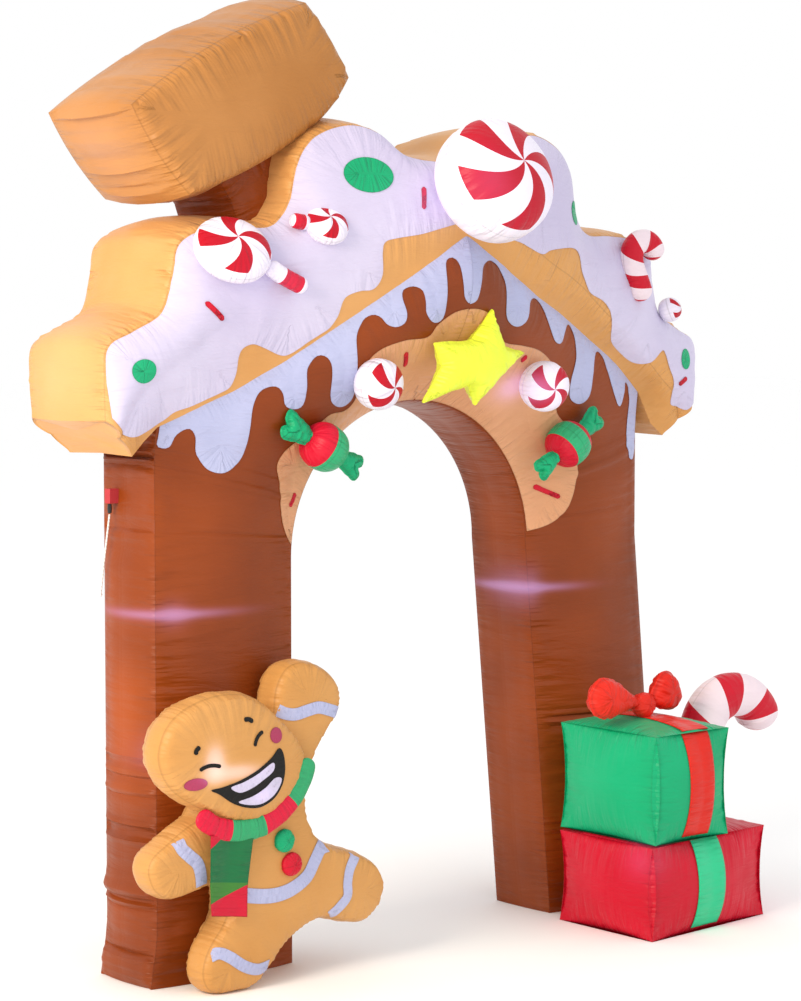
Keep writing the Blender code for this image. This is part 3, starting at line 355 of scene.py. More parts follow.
# %% Surfaces to meshes
def make(name, verts, faces, material, own=None, seam=None, sharp=None, replaces=None):
    """A smooth mesh object in the frame: places are shifted from the arch centre to the frame's origin.
    own and seam are UV maps by corner or by vertex; replaces is the node it stands for, which is hidden."""
    mesh = bpy.data.meshes.new(name)
    verts, faces = np.asarray(verts, float) + ORIGIN, np.asarray(faces, np.int32)
    verts[:, 2] = np.maximum(verts[:, 2], 0.0)
    mesh.vertices.add(len(verts))
    mesh.vertices.foreach_set("co", verts.ravel())
    mesh.loops.add(faces.size)
    mesh.loops.foreach_set("vertex_index", faces.ravel())
    mesh.polygons.add(len(faces))
    mesh.polygons.foreach_set("loop_start", np.arange(len(faces), dtype=np.int32) * faces.shape[1])
    mesh.update(calc_edges=True)
    for layer_name, values in (("own", own), ("seam", seam)):
        values = np.full((len(verts), 2), 0.5) if values is None else np.asarray(values, float)
        values = values if len(values) == faces.size else values[faces.ravel()]
        values = values.reshape(*faces.shape, 2).copy()
        if layer_name == "seam":
            # a face whose corners are this far apart along the seam lies across the seam's start
            jump = np.ptp(values[..., 0], axis=1) > 0.10
            values[jump, :, 0] = values[jump, :1, 0]
        mesh.uv_layers.new(name=layer_name).data.foreach_set("uv", values.ravel())
    smooth_finish(mesh, sharp)
    mesh.materials.append(material)
    thing = bpy.data.objects.new(name, mesh)
    bpy.context.collection.objects.link(thing)
    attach(thing, "root")
    if replaces:
        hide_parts(replaces)
    return thing


def outward(verts, faces):
    """True if the closed surface's signed volume is above zero, so that its faces point outwards."""
    face = verts[faces]
    normal = np.cross(face[:, 1] - face[:, 0], face[:, 2] - face[:, 0])
    return np.einsum("ij,ij->i", face[:, 0], normal).sum() > 0


def loft(name, rings, material, seams=(), sharp=None, replaces=None, ends=(0.0, 0.35, 0.7),
         seam=None):
    """A row of closed rings (rows, count, 3). ends are the sizes of smaller rings that shut each end, the
    first a point. In the UV map "own" u is the turn and v the way along; in "seam" the gap is the length
    round the ring."""
    rings = np.asarray(rings, float)
    middles = rings.mean(1, keepdims=True)
    shrink = np.array(ends).reshape(-1, 1, 1)
    start = middles[:1] + (rings[:1] - middles[:1]) * shrink
    end = middles[-1:] + (rings[-1:] - middles[-1:]) * shrink[::-1]
    rings = np.concatenate([start, rings, end])
    rows, count = rings.shape[:2]
    travel = np.concatenate([[0], np.cumsum(np.linalg.norm(np.diff(rings, axis=0), axis=2).mean(1))])
    steps = np.linalg.norm(np.roll(rings, -1, axis=1) - rings, axis=2)
    around = np.cumsum(steps, 1) - steps
    gap = np.full((rows, count), 0.5)
    for column in seams:
        away = np.abs(around - around[:, column:column + 1])
        gap = np.minimum(gap, np.minimum(away, steps.sum(1, keepdims=True) - away))
    if len(ends):
        gap[:len(ends)] = gap[-len(ends):] = 0.5
    if seam is None:
        seam = np.stack([np.repeat(travel, count), gap.ravel()], 1)
    row, step = np.meshgrid(np.arange(rows - 1), np.arange(count), indexing="ij")
    after = (step + 1) % count
    corners = [(row, step), (row, after), (row + 1, after), (row + 1, step)]
    index = np.stack([r * count + c for r, c in corners], -1).reshape(-1, 4)
    turn = np.stack([step, step + 1, step + 1, step], -1).reshape(-1, 4) / count
    way = travel[np.stack([r for r, _ in corners], -1).reshape(-1, 4)] / travel[-1]
    split = [[0, 1, 2], [0, 2, 3]]
    index, turn, way = (np.concatenate([values[:, pick] for pick in split]) for values in (index, turn, way))
    # the first and last rows are single points
    one = np.arange(rows * count)
    one[:count], one[-count:] = 0, rows * count - 1
    used, place = np.unique(one, return_inverse=True)
    faces = place[index]
    real = (faces[:, 0] != faces[:, 1]) & (faces[:, 1] != faces[:, 2]) & (faces[:, 2] != faces[:, 0])
    faces, turn, way, seam = faces[real], turn[real], way[real], seam[index[real]]
    verts = rings.reshape(-1, 3)
    verts[[0, -1]] = verts[:count].mean(0), verts[-count:].mean(0)
    verts = verts[used]
    if not outward(verts, faces):
        faces, turn, way, seam = faces[:, ::-1], turn[:, ::-1], way[:, ::-1], seam[:, ::-1]
    own = np.stack([turn.ravel(), way.ravel()], 1)
    return make(name, verts, faces, material, own, seam.reshape(-1, 2), sharp, replaces)


# %% [markdown]
# ## The arch body
# Two fabric faces and a side strip make one long chamber that goes up one leg, over the opening and down the
# other. Its section is almost a rectangle with swollen sides. Over the opening the strip gets much wider, so
# the gable leans forward to meet the roof. The same stations as in the part's source are carried through
# here with many more steps, and the seams get their gathers: little folds that start at the stitches and die
# out within a hand's width.

# %% Tables of the arch
# half width of the opening, where its arch starts, and how far it rises; outer side of a leg, half depth at
# its seams, how far the right foot stands out, and how far the reveal swells
OPEN_HALF, SPRING_Z, CROWN_RISE = 0.505, 1.30, 0.49
LEG_OUT, LEG_SEAM, SPLAY, REVEAL_SWELL = 1.03, 0.137, 0.122, 0.018
# x from the centre and z of the line where the roof meets the gable, by side
JUNCTION = {
    -1: np.array([(0, 2.324), (0.257, 2.158), (0.436, 2.045), (0.611, 1.934), (0.778, 1.843), (1.03, 1.735)]),
    1: np.array([(0, 2.324), (0.205, 2.225), (0.371, 2.142), (0.57, 2.063), (0.862, 1.922), (1.03, 1.80)]),
}
# base x, base half depth, crease x, crease z left, crease half depth, top x, top z, top half depth
ROOF = np.array([
    (0.00, 0.400, 0.00, 2.500, 0.410, 0.000, 2.556, 0.340),
    (0.10, 0.385, 0.12, 2.440, 0.405, 0.190, 2.572, 0.330),
    (0.18, 0.370, 0.21, 2.390, 0.395, 0.290, 2.643, 0.305),
    (0.25, 0.350, 0.29, 2.345, 0.385, 0.400, 2.663, 0.290),
    (0.32, 0.335, 0.36, 2.310, 0.375, 0.520, 2.622, 0.275),
    (0.39, 0.315, 0.43, 2.275, 0.365, 0.583, 2.540, 0.270),
    (0.46, 0.295, 0.50, 2.245, 0.355, 0.610, 2.420, 0.260),
    (0.53, 0.275, 0.58, 2.205, 0.340, 0.675, 2.345, 0.250),
    (0.61, 0.250, 0.65, 2.165, 0.320, 0.790, 2.341, 0.240),
    (0.70, 0.225, 0.73, 2.115, 0.305, 0.910, 2.330, 0.230),
    (0.78, 0.205, 0.80, 2.080, 0.290, 1.000, 2.285, 0.225),
    (0.84, 0.190, 0.863, 2.046, 0.280, 1.023, 2.190, 0.220),
    (0.90, 0.180, 0.92, 2.000, 0.265, 1.061, 2.079, 0.215),
    (0.97, 0.165, 0.98, 1.950, 0.255, 1.160, 2.022, 0.210),
    (1.03, 0.150, 1.06, 1.890, 0.240, 1.247, 1.975, 0.205),
    (1.085, 0.155, 1.14, 1.830, 0.225, 1.256, 1.870, 0.205),
    (1.134, 0.165, 1.19, 1.702, 0.190, 1.250, 1.755, 0.200),
])
# the last two stations hang free beyond the gable; from there on the base has its own heights
ON_GABLE = len(ROOF) - 2
EAVE_TIP_Z = [1.692, 1.650]
RIGHT_CREASE_DROP = 0.045
ROOF_FINE = 8
# level slack folds of the legs: where one stands on the floor, behind the figure, and under the roof.
# height, reach, size
SLACK = [(0.04, 0.09, 0.008), (0.28, 0.05, 0.010), (0.47, 0.04, 0.008), (0.66, 0.06, 0.009),
         (1.42, 0.04, 0.005), (1.62, 0.06, 0.006)]


# %% Stations of the arch body
def half_stations(side):
    """One side's stations from floor to peak. Columns: inner x, z, outer x, z, outer half depth,
    front swell, outside swell, reveal swell."""
    z = np.concatenate([np.linspace(0, 0.86, 16), [0.95, 1.05, 1.15, 1.25, 1.30]])
    lean = SPLAY * (1 - z / SPRING_Z) if side > 0 else 0.025 * np.clip(1 - z / 0.15, 0, 1)
    foot = np.minimum(1.0, 0.35 + z / 0.25)
    legs = np.stack([side * OPEN_HALF + max(side, 0) * lean, z, side * (LEG_OUT + lean), z, 0 * z + LEG_SEAM,
                     0.055 * foot, 0.035 * foot, REVEAL_SWELL * foot], 1)
    part = np.array([0.12, 0.24, 0.35, 0.47, 0.59, 0.70, 0.80, 0.90])
    z = np.interp(part, (0, 0.35, 0.70, 1.0), (1.30, 1.44, 1.60, 1.71))
    angle = np.radians(30 * part)
    spring = np.stack([side * OPEN_HALF * np.cos(angle), SPRING_Z + CROWN_RISE * np.sin(angle),
                       0 * z + side * LEG_OUT, z, 0 * z + LEG_SEAM, 0 * z + 0.058, 0.03 * (1 - part),
                       0 * z + REVEAL_SWELL], 1)
    across = ROOF[:ON_GABLE, 0][::-1]
    part = np.linspace(0, 1, ON_GABLE)
    angle = np.radians(30 + 60 * part)
    head = np.stack([side * OPEN_HALF * np.cos(angle), SPRING_Z + CROWN_RISE * np.sin(angle), side * across,
                     np.interp(across, *JUNCTION[side].T), np.maximum(ROOF[:ON_GABLE, 1][::-1], LEG_SEAM),
                     0.06 + 0.07 * part, 0 * part, 0 * part + REVEAL_SWELL], 1)
    return np.concatenate([legs, spring, head])


def refine(table, per_step, straight):
    """per_step rows for each step of the table: a smooth curve, but the straight columns go straight."""
    count = (len(table) - 1) * per_step + 1
    where = np.linspace(0, len(table) - 1, count)
    out = curve(table, count)
    for column in straight:
        out[:, column] = np.interp(where, np.arange(len(table)), table[:, column])
    return out


# %% Arch body surface
def arch_surface():
    """Ring by ring: front from the opening's seam to the outer seam, side strip, back, reveal. Front depth
    is linear between the seams plus a parabola; gathers add a fading ripple at both seams, and slack a level
    one."""
    left, right = half_stations(-1), half_stations(1)
    rows = refine(np.concatenate([left, right[:-1][::-1]]), 7, (2, 3))
    inner, outer, level = rows[:, None, 0:2], rows[:, None, 2:4], rows[:, 3]
    half, swell, out_swell, in_swell = (rows[:, k][:, None] for k in (4, 5, 6, 7))
    span = outer - inner
    width = np.linalg.norm(span, axis=2)
    away = span / width[..., None]
    travel = distance_along(rows[:, 0:2] + rows[:, 2:4]) / 2
    share = eased(45)
    depth = LEG_SEAM * (1 - share) + half * share + 4 * share * (1 - share) * swell
    # gathers about 30 mm apart along each seam, which die out within a hand's width of it
    inside_fade = np.exp(-share * width / 0.045) * np.minimum(1, share * 12)
    outside_fade = np.exp(-(1 - share) * width / 0.045) * np.minimum(1, (1 - share) * 12)
    fold = ripple(travel, 0.030, 3)[:, None] * inside_fade
    fold = fold + ripple(travel, 0.034, 4)[:, None] * outside_fade * 1.3
    loose = sum(np.exp(-((level - z) / reach) ** 2) * size for z, reach, size in SLACK)
    slack = (ripple(level, 0.028, 5) * loose)[:, None] * np.minimum(1, 8 * np.minimum(share, 1 - share))
    # the cloth is pulled hardest where the opening starts to curve
    spring = 1 + 1.6 * np.exp(-((level - SPRING_Z) / 0.22) ** 2)
    depth = depth + 0.0042 * fold * spring[:, None] + slack
    flat = inner + span * share[None, :, None]
    front = np.stack([flat[..., 0], -depth, flat[..., 1]], -1)
    behind = (front * (1, -1, 1))[:, ::-1]
    # q runs across the outer strip and the reveal, which bow out between their seams and pucker along them
    q = np.linspace(0, 1, 18)[1:-1]
    bow = 4 * q * (1 - q)
    pucker = np.exp(-np.minimum(q, 1 - q) * 2 * half / 0.05) * ripple(travel, 0.03, 6)[:, None] * 0.003
    slack = (ripple(level, 0.028, 9) * loose)[:, None] * 2.2 * np.minimum(1, 4 * bow)
    side = outer + away * (out_swell * bow + (pucker + slack) * np.where(out_swell > 0.002, 1, 0))[..., None]
    side = np.stack([side[..., 0], (2 * q - 1) * half, side[..., 1]], -1)
    pucker = np.exp(-np.minimum(q, 1 - q) * 2 * LEG_SEAM / 0.05) * ripple(travel, 0.03, 7)[:, None] * 0.002
    reveal = inner - away * (in_swell * bow + pucker)[..., None]
    reveal = np.stack([reveal[..., 0], (1 - 2 * q) * LEG_SEAM + 0 * half, reveal[..., 1]], -1)
    return np.concatenate([front, side, behind, reveal], 1)


arch = loft("arch_chamber", arch_surface(), cloth["brown"], (0, 44, 61, 105), 35, "arch_body")
print("arch body:", len(arch.data.polygons), "faces")

# %% [markdown]
# ## The roof
# The roof is one lobed chamber that straddles the gable. Its front panel is folded along a crease that runs
# from eave to peak: below it the cloth faces down and looks grey, above it the cloth faces the light. The
# lobed top is closed by a strip whose seams are gathered all along, because a straight strip is sewn round
# tight curves.


# %% Roof surface
def roof_half(side):
    """Rows of base, crease and top (x, z, half depth) for one side, peak to eave tip, eight steps a
    station."""
    base_z = np.concatenate([np.interp(ROOF[:ON_GABLE, 0], *JUNCTION[side].T), EAVE_TIP_Z])
    drop = np.where(ROOF[:, 0] < 1.1, np.minimum(1, ROOF[:, 0] / 0.3), 0)
    drop = drop * (RIGHT_CREASE_DROP if side > 0 else 0)
    table = np.stack([side * ROOF[:, 0], base_z, ROOF[:, 1], side * ROOF[:, 2], ROOF[:, 3] - drop, ROOF[:, 4],
                      side * ROOF[:, 5], ROOF[:, 6], ROOF[:, 7]], 1)
    return refine(table, ROOF_FINE, (0, 1, 2))


def roof_surface():
    """Ring: lower facet, crease, upper facet with a parabola of swell, gathered top strip, and the same
    behind."""
    rows = np.concatenate([roof_half(-1)[::-1], roof_half(1)[1:]])
    base, crease, top = rows[:, None, 0:3], rows[:, None, 3:6], rows[:, None, 6:9]
    travel = distance_along(rows[:, 6:8])
    low = np.linspace(0, 1, 12)[:-1][None, :, None]
    high = eased(27)[None, :, None]
    lower = base * (1 - low) + crease * low
    lower[..., 2] += (0.010 * 4 * low * (1 - low) + 0.004 * np.exp(-low * 8))[..., 0]
    # the lowest edge comes a little lower than the gable's, so that it covers the seam
    lower[..., 1] -= 0.005 * np.exp(-low * 12)[..., 0]
    upper = crease * (1 - high) + top * high
    size = np.linalg.norm(top - crease, axis=2)
    gather = fade((1 - high[..., 0]) * size, 0.05, 0.012) * ripple(travel, 0.032, 11)[:, None] * 0.005
    pull = np.exp(-high[..., 0] * size / 0.05) * ripple(travel, 0.05, 12)[:, None] * 0.0025
    swell = (0.028 * 4 * high * (1 - high))[..., 0]
    upper[..., 2] += swell + gather + pull * np.minimum(1, high[..., 0] * 20)
    front = np.concatenate([lower, upper], 1)
    along = np.gradient(rows[:, 6:8], axis=0)
    normals = unit_rows(np.stack([-along[:, 1], along[:, 0]], 1))
    # a running mean of nine normals, so that the strip has no kinks in the valleys
    kernel = np.hanning(9) / np.hanning(9).sum()
    padded = np.pad(normals, ((4, 4), (0, 0)), mode="edge")
    normals = unit_rows(np.stack([np.convolve(padded[:, k], kernel, "valid") for k in (0, 1)], 1))
    # q runs across the top strip from the front seam to the back one
    q = np.linspace(0, 1, 26)[1:-1]
    edge = np.minimum(q, 1 - q) * 2 * top[..., 2]
    pucker = fade(edge, 0.055, 0.010) * ripple(travel, 0.030, 13)[:, None] * 0.011
    pucker += ripple(travel, 0.05, 14)[:, None] * np.sin(np.pi * q) * 0.002
    lift = 0.038 * 4 * q * (1 - q) + pucker
    strip = top[..., 0:2] + normals[:, None] * lift[..., None]
    strip = np.stack([strip[..., 0], (2 * q - 1) * top[..., 2], strip[..., 1]], -1)
    front = np.stack([front[..., 0], -front[..., 2], front[..., 1]], -1)
    behind = front[:, ::-1] * (1, -1, 1)
    middle = np.stack([base[:, 0, 0], 0 * base[:, 0, 0], base[:, 0, 1]], -1)[:, None]
    return np.concatenate([front, strip, behind, middle], 1)


roof = loft("roof_chamber", roof_surface(), cloth["light biscuit"], (11, 37, 62, 88), 28, "roof")
print("roof:", len(roof.data.polygons), "faces")

# %% [markdown]
# ## Cushions: two panels and a side strip
# A panel under pressure is a soap film pushed from behind. Its height h obeys one rule: everywhere the
# height is the mean of its neighbours plus a constant push. Relaxing that rule on a grid gives a surface
# that is high in wide places and low in narrow ones, as the arms and legs of a real air figure are. The
# square root makes it round, because thin cloth bulges like a pipe and not like a hill.


# %% Cushion tool
def rim_data(points, outline):
    """For each point the nearest place on the outline: its distance, its length along the outline, and
    itself."""
    span = np.roll(outline, -1, axis=0) - outline
    long = np.linalg.norm(span, axis=1)
    share = np.clip(((points[:, None] - outline) * span).sum(2) / (long ** 2 + 1e-12), 0, 1)
    near = outline + span * share[..., None]
    gap = np.linalg.norm(points[:, None] - near, axis=2)
    best = gap.argmin(1)
    row = np.arange(len(points))
    return gap[row, best], (np.cumsum(long) - long)[best] + share[row, best] * long[best], near[row, best]


def within(points, outline):
    """True where a point lies inside the outline: an odd number of edges is crossed to its right."""
    x, z = points[:, 0][:, None], points[:, 1][:, None]
    start, end = outline, np.roll(outline, -1, axis=0)
    spans = (start[:, 1] > z) != (end[:, 1] > z)
    rise = np.where(np.abs(end[:, 1] - start[:, 1]) < 1e-12, 1e-12, end[:, 1] - start[:, 1])
    return (spans & (x < start[:, 0] + (z - start[:, 1]) / rise * (end[:, 0] - start[:, 0]))).sum(1) % 2 == 1


def film(outline, cell, rounds):
    """Soap film over the outline: repeated averaging of the four neighbours plus a push, zero outside.
    Returns a function that reads the square root of the height, from 0 to 1, at any points."""
    low = outline.min(0) - 3 * cell
    size = np.ceil((outline.max(0) + 3 * cell - low) / cell).astype(int) + 1
    x, z = np.meshgrid(np.arange(size[0]), np.arange(size[1]), indexing="ij")
    grid = np.stack([x.ravel(), z.ravel()], 1) * cell + low
    mask = within(grid, outline).reshape(size)
    height = np.zeros(size)
    for _ in range(rounds):
        around = sum(np.roll(height, way, axis) for axis in (0, 1) for way in (1, -1))
        height = (around / 4 + 1.0) * mask
    height = np.sqrt(height / height.max())

    def read(points):
        place = (points - low) / cell
        corner = np.clip(np.floor(place).astype(int), 0, size - 2)
        f = place - corner
        a, b = corner[:, 0], corner[:, 1]
        return (height[a, b] * (1 - f[:, 0]) * (1 - f[:, 1]) + height[a + 1, b] * f[:, 0] * (1 - f[:, 1])
                + height[a, b + 1] * (1 - f[:, 0]) * f[:, 1] + height[a + 1, b + 1] * f[:, 0] * f[:, 1])
    return read


def panel(outline, cell):
    """Points and triangles of a flat panel: its rim and an even grid of points inside."""
    low, high = outline.min(0), outline.max(0)
    rows = np.arange(low[1], high[1], cell * 0.87)
    x = np.arange(low[0], high[0], cell)[None, :] + (np.arange(len(rows)) % 2)[:, None] * cell / 2
    grid = np.stack([x, rows[:, None] + 0 * x], -1).reshape(-1, 2)
    grid = grid[within(grid, outline)]
    grid = grid[rim_data(grid, outline)[0] > 0.6 * cell]
    flat = np.concatenate([outline, grid])
    out = delaunay_2d_cdt(flat.tolist(), [], [list(range(len(outline)))], 1, 1e-7)
    return np.array([tuple(v) for v in out[0]]), np.array(out[2], np.int32)


def even(outline, step, closed=True):
    """The outline as a smooth curve with its points step apart."""
    fine = curve(outline, len(outline) * 24, closed)
    loop = np.concatenate([fine, fine[:1]]) if closed else fine
    far = distance_along(loop)
    where = np.linspace(0, far[-1], max(12, int(far[-1] / step)), endpoint=not closed)
    return np.stack([np.interp(where, far, loop[:, k]) for k in (0, 1)], 1)


def leftward(outline):
    """The outline as an array that runs counterclockwise, which its shoelace area shows."""
    x, z = np.asarray(outline, float).T
    area = (x * np.roll(z, -1) - np.roll(x, -1) * z).sum()
    return np.stack([x, z], 1)[::-1 if area < 0 else 1]


def cushion(name, outline, y_mid, wall, crown, material, step=0.010, seed=1, gather=0.003, rounds=900,
            power=1.0, replaces=None, smooth=True, sharp=40, wall_bow=0.006):
    """Front and back panels whose height is wall plus crown times the film, with gathers that fade from the
    seam, and between them a side strip of five rows that bows out by wall_bow."""
    outline = leftward(even(outline, step) if smooth else outline)
    flat, tris = panel(outline, step)
    gap, along, _ = rim_data(flat, outline)
    rise = film(outline, step * 0.8, rounds)(flat) ** power
    rim = len(outline)
    rise[:rim] = 0
    high = wall + crown * rise + fade(gap, 0.030, 0.008) * ripple(along, 0.026, seed) * gather
    front = np.stack([flat[:, 0], y_mid - high, flat[:, 1]], 1)
    rear = np.stack([flat[:, 0], y_mid + high, flat[:, 1]], 1)
    ahead = np.roll(outline, -1, axis=0) - np.roll(outline, 1, axis=0)
    out = unit_rows(np.stack([ahead[:, 1], -ahead[:, 0]], 1))
    share = np.linspace(0, 1, 6)[1:-1]
    bow = (4 * share * (1 - share))[:, None, None] * wall_bow * out
    edge = outline[None] + bow * (1 + 0.4 * ripple(np.arange(rim) * step, 0.03, seed + 1))[:, None]
    depth = y_mid + np.zeros(rim)[None] + (2 * share[:, None] - 1) * wall
    strip = np.stack([edge[..., 0], depth, edge[..., 1]], -1).reshape(-1, 3)
    verts = np.concatenate([front, rear, strip])
    # numbers of the rim points: row 0 in the front panel, four rows in the strip, the last in the rear panel
    count = len(flat)
    starts = [0, *(2 * count + np.arange(4) * rim), count]
    at = np.arange(rim)
    after = (at + 1) % rim
    walls = [np.stack(three, 1) for low, high in zip(starts, starts[1:])
             for three in ((low + at, high + at, high + after), (low + at, high + after, low + after))]
    faces = np.concatenate([tris, tris[:, ::-1] + count, *walls])
    faces = faces if outward(verts, faces) else faces[:, ::-1]
    own = (verts[:, [0, 2]] - outline.min(0)) / (outline.max(0) - outline.min(0))
    wall_gap = np.repeat(np.minimum(share, 1 - share) * 2 * wall, rim)
    seam = np.stack([np.concatenate([along, along, np.tile(along[:rim], 4)]),
                     np.concatenate([gap, gap, wall_gap])], 1)
    return make(name, verts, faces, material, own, seam, sharp, replaces)


# %% [markdown]
# ## The chimney
# A padded cap on a short stack, square to the left slope. The cap is the clearest cushion of all: its front
# panel has straight sides that bow outward, a top strip, and stiff little folds at the corners where the
# seams meet.


# %% Chimney
def bowed(points, parts, bow):
    """Each side of the polygon split into parts and pushed out by bow times its length."""
    points = np.asarray(points, float)
    after = np.roll(points, -1, axis=0)
    t = (np.arange(parts) / parts)[None, :, None]
    span = (after - points)[:, None]
    normal = np.stack([span[..., 1], -span[..., 0]], -1)
    normal *= np.sign((normal * (points - points.mean(0))[:, None]).sum(-1, keepdims=True))
    return (points[:, None] + span * t + normal * bow * 4 * t * (1 - t)).reshape(-1, 2)


CAP = [(-0.957, 2.432), (-0.449, 2.683), (-0.339, 2.816), (-0.511, 3.037), (-1.166, 2.692)]
STACK = [(-0.820, 2.530), (-0.745, 2.420), (-0.690, 2.300), (-0.640, 2.240), (-0.545, 2.300), (-0.535, 2.660)]
cushion("chimney_cap_cushion", bowed(CAP, 26, 0.045), 0.0, 0.225, 0.055, cloth["biscuit"], 0.014, 21, 0.010,
        smooth=False, replaces="chimney_cap", wall_bow=0.030)
cushion("chimney_stack_cushion", bowed(STACK, 14, 0.03), 0.0, 0.150, 0.022, cloth["brown"], 0.014, 23, 0.004,
        smooth=False, replaces="chimney_stack", wall_bow=0.012)
print("chimney done")

# %% [markdown]
# ## Sewn-on sheets
# The icing and the band are cloth shapes stitched flat onto the panels. Each is cut out as a flat panel,
# pressed back onto the form with a Shrinkwrap along Y, and given a millimetre of thickness. The edge keeps a
# thin painted shadow, the material's darker seam line, as on the real seams.


# %% Sheet tool
# how far in front of the arch's middle a sheet starts, before it is pressed back
IN_FRONT = 0.75


def flat_size(outline, growth):
    """Width and length of the smallest rectangle that the flat outline fits in, times growth."""
    turns = np.radians(np.arange(0, 90, 3))
    across = outline @ np.stack([np.cos(turns), np.sin(turns)])
    up = outline @ np.stack([-np.sin(turns), np.cos(turns)])
    sizes = np.stack([np.ptp(across, axis=0), np.ptp(up, axis=0)], 1)
    return sizes[sizes.prod(1).argmin()] * growth


def surface_area(thing):
    """Area in square metres of the piece as its modifiers leave it."""
    shape = thing.evaluated_get(bpy.context.evaluated_depsgraph_get()).to_mesh()
    return sum(face.area for face in shape.polygons)


def thicken(thing, thick, offset):
    """Gives the sheet its thickness: in front of its surface for offset 1, half on each side for 0."""
    modifier = thing.modifiers.new("cloth", "SOLIDIFY")
    modifier.thickness, modifier.offset = thick, offset


def straight_line(points, step=0.010):
    """Points step apart along straight stretches."""
    points = np.asarray(points, float)
    far = distance_along(points)
    where = np.linspace(0, far[-1], int(far[-1] / step) + 2)
    return np.stack([np.interp(where, far, points[:, k]) for k in (0, 1)], 1)


def applique(name, outline, base, material, lift=0.0015, step=0.011, replaces=None, smooth=False,
             straight_rim=False):
    """The flat panel of the outline, set in front of the base and projected back along +Y onto it. A
    straight rim gets its points step apart, so that it follows the base between the points of the
    outline."""
    outline = leftward(even(outline, step * 0.7) if smooth else outline)
    outline = straight_line(np.concatenate([outline, outline[:1]]), step)[:-1] if straight_rim else outline
    flat, tris = panel(outline, step)
    verts = np.stack([flat[:, 0], 0 * flat[:, 0] - IN_FRONT, flat[:, 1]], 1)
    gap, along, _ = rim_data(flat, outline)
    own = (flat - outline.min(0)) / (outline.max(0) - outline.min(0))
    thing = make(name, verts, tris, material, own, np.stack([along, gap], 1), replaces=replaces)
    flat_area = surface_area(thing)
    press = thing.modifiers.new("press on", "SHRINKWRAP")
    press.wrap_method, press.target, press.offset = "PROJECT", base, lift
    press.use_project_x = press.use_project_z = press.use_negative_direction = False
    press.use_project_y = press.use_positive_direction = True
    area = surface_area(thing)
    # the sheet's cut size: the outline's, grown as much as the form stretches its area
    size = flat_size(outline, math.sqrt(area / flat_area))
    print(f"  {name}: cut {size[0]:.3f} x {size[1]:.3f} m, {area:.4f} m2")
    thicken(thing, 0.0012, 1.0)
    finished = bpy.data.meshes.new_from_object(thing.evaluated_get(bpy.context.evaluated_depsgraph_get()))
    thing.modifiers.clear()
    thing.data = finished
    smooth_finish(finished, 60)
    return thing


# %% Icing and band outlines
# half the gap between the left and the right sheet at the centre seam
CENTRE_GAP = 0.0004
ICING_LEFT_EDGE = [
    (-1.238, 1.765), (-1.215, 1.738), (-1.180, 1.712), (-1.140, 1.705), (-1.090, 1.717), (-1.021, 1.749),
    (-0.985, 1.776), (-0.930, 1.792), (-0.872, 1.815), (-0.830, 1.832), (-0.800, 1.850), (-0.790, 1.890),
    (-0.795, 1.942), (-0.785, 1.969), (-0.751, 1.981), (-0.704, 1.968), (-0.634, 1.945), (-0.594, 1.955),
    (-0.545, 1.988), (-0.505, 2.012), (-0.478, 2.030), (-0.456, 2.067), (-0.444, 2.122), (-0.394, 2.144),
    (-0.341, 2.151), (-0.316, 2.192), (-0.326, 2.263), (-0.319, 2.297), (-0.274, 2.310), (-0.185, 2.324),
    (-0.102, 2.345), (-0.004, 2.370)]
ICING_RIGHT_EDGE = [
    (0.004, 2.370), (0.120, 2.330), (0.241, 2.306), (0.286, 2.291), (0.356, 2.269), (0.401, 2.283),
    (0.510, 2.292), (0.552, 2.273), (0.565, 2.216), (0.611, 2.150), (0.687, 2.120), (0.727, 2.093),
    (0.762, 2.039), (0.800, 1.985), (0.851, 1.950), (0.931, 1.905), (0.986, 1.906), (1.022, 1.940),
    (1.042, 1.944), (1.074, 1.894), (1.110, 1.841), (1.120, 1.795), (1.128, 1.756), (1.160, 1.748),
    (1.200, 1.735), (1.232, 1.760)]
GABLE_LEFT_EDGE = [
    (-1.022, 1.700), (-1.022, 1.671), (-0.988, 1.668), (-0.970, 1.708), (-0.931, 1.724), (-0.912, 1.697),
    (-0.904, 1.647), (-0.872, 1.602), (-0.830, 1.585), (-0.795, 1.590), (-0.754, 1.622), (-0.738, 1.671),
    (-0.729, 1.780), (-0.702, 1.835), (-0.656, 1.850), (-0.632, 1.829), (-0.621, 1.791), (-0.590, 1.778),
    (-0.559, 1.789), (-0.553, 1.839), (-0.552, 1.905), (-0.515, 1.945), (-0.478, 1.920), (-0.462, 1.820),
    (-0.430, 1.787), (-0.385, 1.783), (-0.362, 1.810), (-0.379, 1.872), (-0.397, 1.990), (-0.373, 2.048),
    (-0.344, 2.070), (-0.318, 2.064), (-0.297, 2.040), (-0.265, 2.032), (-0.236, 2.046), (-0.230, 2.075),
    (-0.240, 2.120), (-0.232, 2.148), (-0.204, 2.160), (-0.177, 2.150), (-0.168, 2.116), (-0.163, 2.075),
    (-0.133, 2.046), (-0.100, 2.058), (-0.093, 2.116), (-0.088, 2.230), (-0.063, 2.252), (-0.045, 2.230),
    (-0.036, 2.175), (-0.026, 2.125), (-0.0004, 2.105)]
